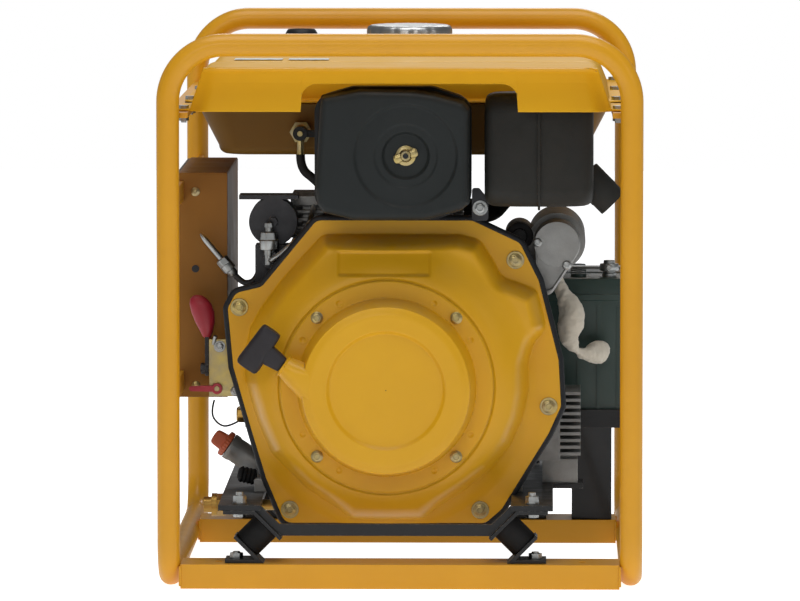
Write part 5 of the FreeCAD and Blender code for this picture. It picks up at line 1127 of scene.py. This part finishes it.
def left_controls():
    # red paddle of the speed lever on its flat arm
    rings = []
    for z, x, half_x, half_y in ((262, -218.6, 2.4, 4), (264, -218.8, 5, 6), (270, -219.4, 7.5, 7.5),
                                 (280, -221, 11, 8.5),
                                 (291, -223.4, 13, 8.5), (300, -226, 12.4, 8), (306, -228, 9.6, 6.8),
                                 (309.4, -229, 5.6, 4.6),
                                 (310.4, -229.4, 1.6, 1.6)):
        rings.append([(x + half_x * squarish(math.cos(a), 0.8),
                       -176 + half_y * squarish(math.sin(a), 0.8), z)
                      for a in (2 * math.pi * k / 40 for k in range(40))])
    paddle = loft("paddle", rings)
    add_piece("speed_lever_paddle", paddle, "speed_lever_body", "red_plastic")
    arm_outline = rounded([(-183.5, 222), (-168.5, 222), (-170.5, 268), (-181.5, 268)], 5)
    arm = loft("arm", [[(x, y, z) for y, z in arm_outline] for x in (-221, -220.7, -217.3, -217)])
    hub = turned("hub", [(4.1, 0), (8.5, 0), (8.5, 3.4), (7.9, 4), (4.1, 4)], (-217, -176, 228), (-1, 0, 0),
                 40)
    nut = hex_bolt("lever_nut", (-221.2, -176, 228), (-1, 0, 0), 11, 5)
    add_piece("speed_lever_arm", [arm, hub, nut], "speed_lever_body", "dark_steel",
              ("speed_control_lever",))
    # stop lever: a red finger with rounded end
    finger = rounded([(-238, 204.2), (-207, 203.4), (-207, 210.6), (-238, 209.8)], 2.6, 5)
    blade = loft("blade", [[(x, y, z) for x, z in finger] for y in (-197, -196.6, -193.4, -193)])
    boss = turned("boss", [(3.1, 0), (6, 0), (6.2, 0.6), (6.2, 4.4), (5.6, 5), (3.1, 5)], (-207, -192.4, 207),
                  (0, -1, 0), 36)
    add_piece("stop_lever_finger", [blade, boss], "stop_lever_body", "red_plastic",
              stands_for=("stop_lever",))
    # governor shaft housing between the bracket and the engine
    shaft = turned("shaft", [(0.5, 0), (9, 0), (10.6, 1), (10.6, 12), (12.2, 14), (12.2, 24), (13.6, 27),
                             (13.6, 52), (0.5, 52)],
                   (-203, -170, 236), (1, 0, 0), 48)
    add_piece("governor_housing", shaft, "frame", "cast_alu")
    extras = [hex_bolt("bracket_bolt_low", (-186, -192, 204), (0, -1, 0), 9, 4, flange=6),
              hex_bolt("bracket_bolt_high", (-204, -192, 254), (0, -1, 0), 8, 4, 6.5, 1),
              turned("screw", [(0.4, 0), (2.2, 0), (2.2, 22), (0.4, 22)], (-214, -186, 246),
                     (0.25, -0.35, 0.9), 20),
              hex_bolt("screw_nut", (-212, -187, 254), (0.25, -0.35, 0.9), 7, 4)]
    add_piece("control_bracket_fasteners", extras, "frame", "zinc_steel")
    spring = []
    for step in range(160):
        t = step / 159
        angle = t * 9 * 2 * math.pi
        spring.append((-212 + 3.2 * math.cos(angle), -184 + 3.2 * math.sin(angle), 214 + 26 * t))
    add_piece("governor_spring", tube("spring", spring, 0.6, 10), "frame", "zinc_steel")
    # pipe union at forty five degrees in front of the control box
    way = Vector((-0.64, 0, 0.77)).normalized()
    tip = Vector((-193, -160, 337))
    stub = [turned("stud", [(0.5, 14), (3.2, 14), (3.2, 43), (2.6, 47), (1.4, 52), (0.4, 53)], tip, way, 28),
            turned("collar", [(6.2, 0), (7.6, 0.6), (7.6, 8), (6.2, 8.6)], tip, way, 40),
            hex_bolt("union", tip + way * 8, way, 13, 9, dome=False),
            turned("tail", [(4.6, -7), (5.4, -6), (5.4, 0), (4.6, 0.5)], tip, way, 32)]
    add_piece("pipe_union", stub, "frame", "zinc_steel")
    line = nurbs("union_pipe", [tip - way * 4, (-184, -160, 327), (-176, -163, 322), (-164, -166, 326),
                                (-160, -158, 340)])
    line.data.bevel_depth = 3.4 * MM
    line.data.bevel_resolution = 5
    settle(line, "frame", "cable_black")
    # vertical delivery union on the injection pump
    union = [turned("union_base", [(0.5, 0), (10.4, 0), (10.8, 1), (10.8, 10), (9.6, 11), (0.5, 11)],
                    (-149, -184, 362), (0, 0, 1), 48),
             hex_bolt("union_hex", (-149, -184, 373), (0, 0, 1), 17, 9, dome=False),
             turned("union_neck", [(0.5, 0), (4.6, 0), (4.2, 8), (0.5, 8)], (-149, -184, 381), (0, 0, 1), 32),
             hex_bolt("union_cap", (-149, -184, 387), (0, 0, 1), 9, 5),
             turned("union_foot", [(0.5, 0), (6, 0), (6, 18), (0.5, 18)], (-149, -184, 345), (0, 0, 1), 32)]
    add_piece("delivery_union", union, "frame", "zinc_steel")
    thin = nurbs("sensor_wire", [(-212, -150, 190), (-216, -156, 176), (-208, -160, 164), (-196, -158, 160),
                                 (-182, -150, 168)])
    thin.data.bevel_depth = 1.1 * MM
    settle(thin, "frame", "cable_black")
    add_piece("lift_pump_union", hex_bolt("pump_union", (-176, -150, 174), (-1, 0, 0), 16, 11), "frame",
              "brass")
    box = loft("pump_box",
               [[(x, y, z) for y, z in rounded([(-160, 160), (-138, 160), (-138, 190), (-160, 190)], 4)]
                            for x in (-177, -176, -150)])
    add_piece("lift_pump_body", box, "frame", "cast_alu")
    # ribbed boot under the filler neck
    boot = turned("boot", [(0.5, -2)] + [(8.0 + 1.4 * (k % 2), 2.2 * k) for k in range(9)] +
                  [(5, 20), (0.5, 20)],
                  (-166, -158, 104), (-0.9, 0, 0.2), 40)
    add_piece("drain_boot", boot, "frame", "rubber")


def oil_cap():
    way = Vector((-0.83, 0, 0.558)).normalized()
    across = Vector((0.558, 0, 0.83)).normalized()
    deep = Vector((0, 1, 0))
    tip = Vector((-142, -120, 99)) + way * 66.4

    def knurl(radius, height, angle):
        return radius - (0.6 * (0.5 + 0.5 * math.cos(angle * 24)) if radius > 14 else 0)
    disc = turned("disc", [(0.5, 0), (13.6, 0), (15, 0.8), (15, 5), (14.2, 6), (11, 6.6), (0.5, 6.6)], tip,
                  way, 144, lobes=knurl)
    rings = []
    for reach, half_w, half_t in ((5, 10.0, 4.6), (9, 9.6, 3.8), (15, 9.2, 3.2), (18.4, 8.4, 2.8),
                                  (20, 6.2, 2.0), (20.4, 3, 1)):
        rings.append([tip + way * reach + across * (half_w * squarish(math.cos(a), 0.55)) +
                      deep * (half_t * squarish(math.sin(a), 0.7))
                      for a in (2 * math.pi * k / 40 for k in range(40))])
    wing = loft("wing", rings)
    add_piece("oil_cap_moulding", [disc, wing], "oil_cap_body", "orange_plastic",
              stands_for=("oil_filler_cap",))
    neck = turned("neck", [(0.5, -2), (19, -2), (17.6, 8), (15.4, 24), (14.2, 44), (14.2, 58), (15.2, 60),
                           (15.2, 65.6),
                           (14.6, 66), (0.5, 66)], Vector((-142, -120, 99)), way, 64)
    add_piece("oil_neck_casting", neck, "frame", "cast_alu")


def weld_bead(name, centre, axis, radius, size, count):
    """Overlapping drops of weld round a joint."""
    axis = Vector(axis).normalized()
    side = axis.orthogonal().normalized()
    other = axis.cross(side)
    turns = [math.tau * k / 200 for k in range(201)]
    path = [Vector(centre) + (side * math.cos(turn) + other * math.sin(turn)) * radius for turn in turns]
    return tube(name, path, lambda t: size * (0.86 + 0.14 * abs(math.sin(t * count * math.pi / 2))), 12)


def frame_details():
    beads = []
    for y in (-345, -281, 110, 174):
        for side in (-1, 1):
            path = [Vector((side * 241.2, y, z)) for z in (3, 8, 14, 20, 25)]
            beads.append(tube("bead", path, 1.7, 10))
    for y in (-348.0, 348.0):
        for side in (-1, 1):
            centre_y = y - math.copysign(46, y)
            centre = (side * LEG_X, centre_y, TUBE_RADIUS)
            beads.append(weld_bead("ring", centre, (0, 1, 0), 12.1, 1.0, 60))
            # the bead is ground off where the set stands on the floor and at its sides
            for v in beads[-1].data.vertices:
                v.co.x = min(max(v.co.x, -(LEG_X + TUBE_RADIUS) * MM), (LEG_X + TUBE_RADIUS) * MM)
                v.co.z = max(v.co.z, 0)
    add_piece("frame_weld_beads", beads, "frame", "frame_yellow")


def box_details():
    parts = [hex_bolt("box_screw", (-233, -147, 424), (0, -1, 0), 5.5, 2.2, flange=5.0),
             hex_bolt("box_screw_low", (-233, -147, 206), (0, -1, 0), 5.5, 2.2, flange=5.0)]
    add_piece("box_screws", parts, "frame", "yellow_zinc")
    plug = turned("plug", [(0.4, 0), (4.2, 0), (4.2, 0.5), (3.4, 0.7), (0.4, 0.2)], (-233, -147.0, 337.5),
                  (0, -1, 0), 32)
    add_piece("box_hole_plug", plug, "frame", "cable_black")
    lid = loft("lid", [oblong(27, -146.6, 136.6, z, 3, 4, -224.5) for z in (442.4, 443.6, 444.8, 445.2)])
    # the lid wears the box's yellow enamel darkened as painted shade
    add_piece("box_lid_0", lid, "frame", "box_yellow_painted_shade")


def cleaner_details():
    edge = rounded([(78, 400), (96, 400), (96, 424), (86, 436), (78, 436)], 3)
    plate = loft("plate", [[(x, y, z) for x, z in edge] for y in (-262, -261.6, -258.4, -258)])
    bolt = hex_bolt("bolt", (87, -262, 414), (0, -1, 0), 10, 4.6, 8.5, 1.4)
    add_piece("cleaner_bracket", plate, "frame", "dark_steel")
    add_piece("cleaner_bracket_bolt", bolt, "frame", "zinc_steel")


# CAD nodes shown as they are, with this radius in millimetres on their edges
SOFT = {
    "mount_brackets": 0.8, "engine_cradle": 1.0, "tank_rails": 0.8, "box_brackets": 0.6, "frame_bolts": 0.4,
    "front_cross_member": 1.4, "rear_cross_member": 1.4, "mount_rubbers": 1.2, "fuel_tap": 0.5,
    "fuel_tap_lever": 0.6, "engine_side_plate": 0.8, "recoil_pulley": 0.4, "flywheel_fan": 0.6,
    "crankcase": 1.4, "cylinder_barrel": 0.6, "cylinder_head": 0.8, "rocker_cover": 2.0, "starter_motor": 1.2,
    "injection_pump": 0.8, "lever_bracket": 0.6, "oil_drain_plug": 0.6, "alternator_housing": 1.2,
    "alternator_end_cover": 1.2, "alternator_rotor": 0.6, "stator": 0.6, "control_box": 1.6,
    "control_panel": 1.2, "current_knob": 0.8, "breaker_lever": 0.6, "key_switch": 0.5, "weld_terminals": 0.6,
    "battery_clamp": 0.6, "battery_tray": 0.8, "crankshaft": 0.6, "piston": 0.6, "air_cleaner_base": 1.5,
    "air_filter_element": 0.5, "skid_tubes": 0,
}
# lines between fixed parts: radius, and the points that part.py gives them
LINES = {
    "fuel_hose": (5.0, [(-114, -180, 468), (-114, -180, 452), (-98, -180, 440), (-84, -176, 424),
                        (-84, -168, 380),
                        (-86, -160, 346), (-104, -154, 338), (-124.7, -154, 338)]),
    "injector_line": (3.0, [(-147, -188, 350), (-147, -200, 350), (-131, -206, 362), (-107, -200, 384),
                            (-101, -172, 402), (-101, -125, 406)]),
}


def build():
    for node, width in SOFT.items():
        # the control box wears its yellow enamel darkened as painted shade
        soften(node, width, look="box_yellow_painted_shade" if node == "control_box" else None)
    fan_housing()
    recoil()
    housing_bolts()
    cleaner_cover()
    wing_nut()
    hoops()
    tank()
    skirt()
    tank_fittings()
    muffler()
    for node, (radius, points) in LINES.items():
        hose(node, points, radius)
    harness()
    starter_nose()
    end_cover_details()
    battery_piece()
    left_controls()
    oil_cap()
    frame_details()
    box_details()
    cleaner_details()
    rope = frame["nodes"]["recoil_rope"]
    wear_material(rope, "rope")
    smooth(rope)


build()


# ---------------------------------------------------------------- stage, light and camera

def stage():
    """A plain pale floor; the backdrop is the white world, so the object is seen from every side."""
    profile = [(-7, 0), (0, 0), (7, 0)]
    points = [Vector((x, y, z)) for x in (-7, 7) for y, z in profile]
    count = len(profile)
    floor = smooth(mesh_object("floor", points,
                               [(k, k + 1, count + k + 1, count + k) for k in range(count - 1)]))
    look = finish("floor", (250, 250, 250), (247, 247, 247), 2, 0.5, (0.85, 0.9), bump=())
    look.node_tree.nodes["Principled BSDF"].inputs["Emission Color"].default_value = (1, 1, 1, 1)
    # white to the camera as far as the horizon, yet dim as a lamp under the set
    nodes, links = look.node_tree.nodes, look.node_tree.links
    seen_by, strength = nodes.new("ShaderNodeLightPath"), nodes.new("ShaderNodeMath")
    strength.operation = "MULTIPLY_ADD"
    strength.inputs[1].default_value = 0.5
    strength.inputs[2].default_value = 0.5
    links.new(seen_by.outputs["Is Camera Ray"], strength.inputs[0])
    links.new(strength.outputs[0], nodes["Principled BSDF"].inputs["Emission Strength"])
    floor.data.materials.append(look)


def area_light(name, at, aim, size, power, colour=(1, 1, 1)):
    data = bpy.data.lights.new(name, "AREA")
    data.shape = "RECTANGLE"
    data.size, data.size_y = size
    data.energy = power
    data.color = colour
    lamp = link(bpy.data.objects.new(name, data))
    lamp.location = at
    lamp.rotation_euler = (Vector(aim) - Vector(at)).to_track_quat("-Z", "Y").to_euler()


AMBIENT = 0.16
stage()
world = bpy.data.worlds.new("studio")
world.use_nodes = True
tree = world.node_tree
seen = tree.nodes["Background"]
seen.inputs[0].default_value = (1, 1, 1, 1)
seen.inputs[1].default_value = 1.0
soft = tree.nodes.new("ShaderNodeBackground")
soft.inputs[0].default_value = (0.93, 0.97, 1.0, 1)
soft.inputs[1].default_value = AMBIENT
path = tree.nodes.new("ShaderNodeLightPath")
either = tree.nodes.new("ShaderNodeMixShader")
tree.links.new(path.outputs["Is Camera Ray"], either.inputs[0])
tree.links.new(soft.outputs[0], either.inputs[1])
tree.links.new(seen.outputs[0], either.inputs[2])
tree.links.new(either.outputs[0], tree.nodes["World Output"].inputs[0])
bpy.context.scene.world = world
bpy.context.scene.view_settings.view_transform = "Standard"
area_light("sky", (0.1, -0.9, 3.4), (0, -0.1, 0.3), (2.6, 2.6), 64, (0.98, 0.99, 1.0))
area_light("front", (-0.7, -4.4, 1.9), (0, 0, 0.25), (1.6, 1.2), 21, (1.0, 0.98, 0.95))
area_light("side", (2.6, -2.2, 1.6), (0, 0, 0.3), (1.2, 1.2), 5)
area_light("back", (0.3, 3.6, 2.6), (0, 0, 0.5), (2.0, 1.0), 30)

camera = bpy.data.objects.new("camera", bpy.data.cameras.new("camera"))
link(camera)
camera.location = (0.161, -8.417, 0.966)
camera.rotation_euler = (Vector((0.0003, -0.3475, 0.3182)) -
                         camera.location).to_track_quat("-Z", "Y").to_euler()
camera.data.lens = 333.2
camera.data.sensor_width = 36
camera.data.clip_end = 60
bpy.context.scene.camera = camera
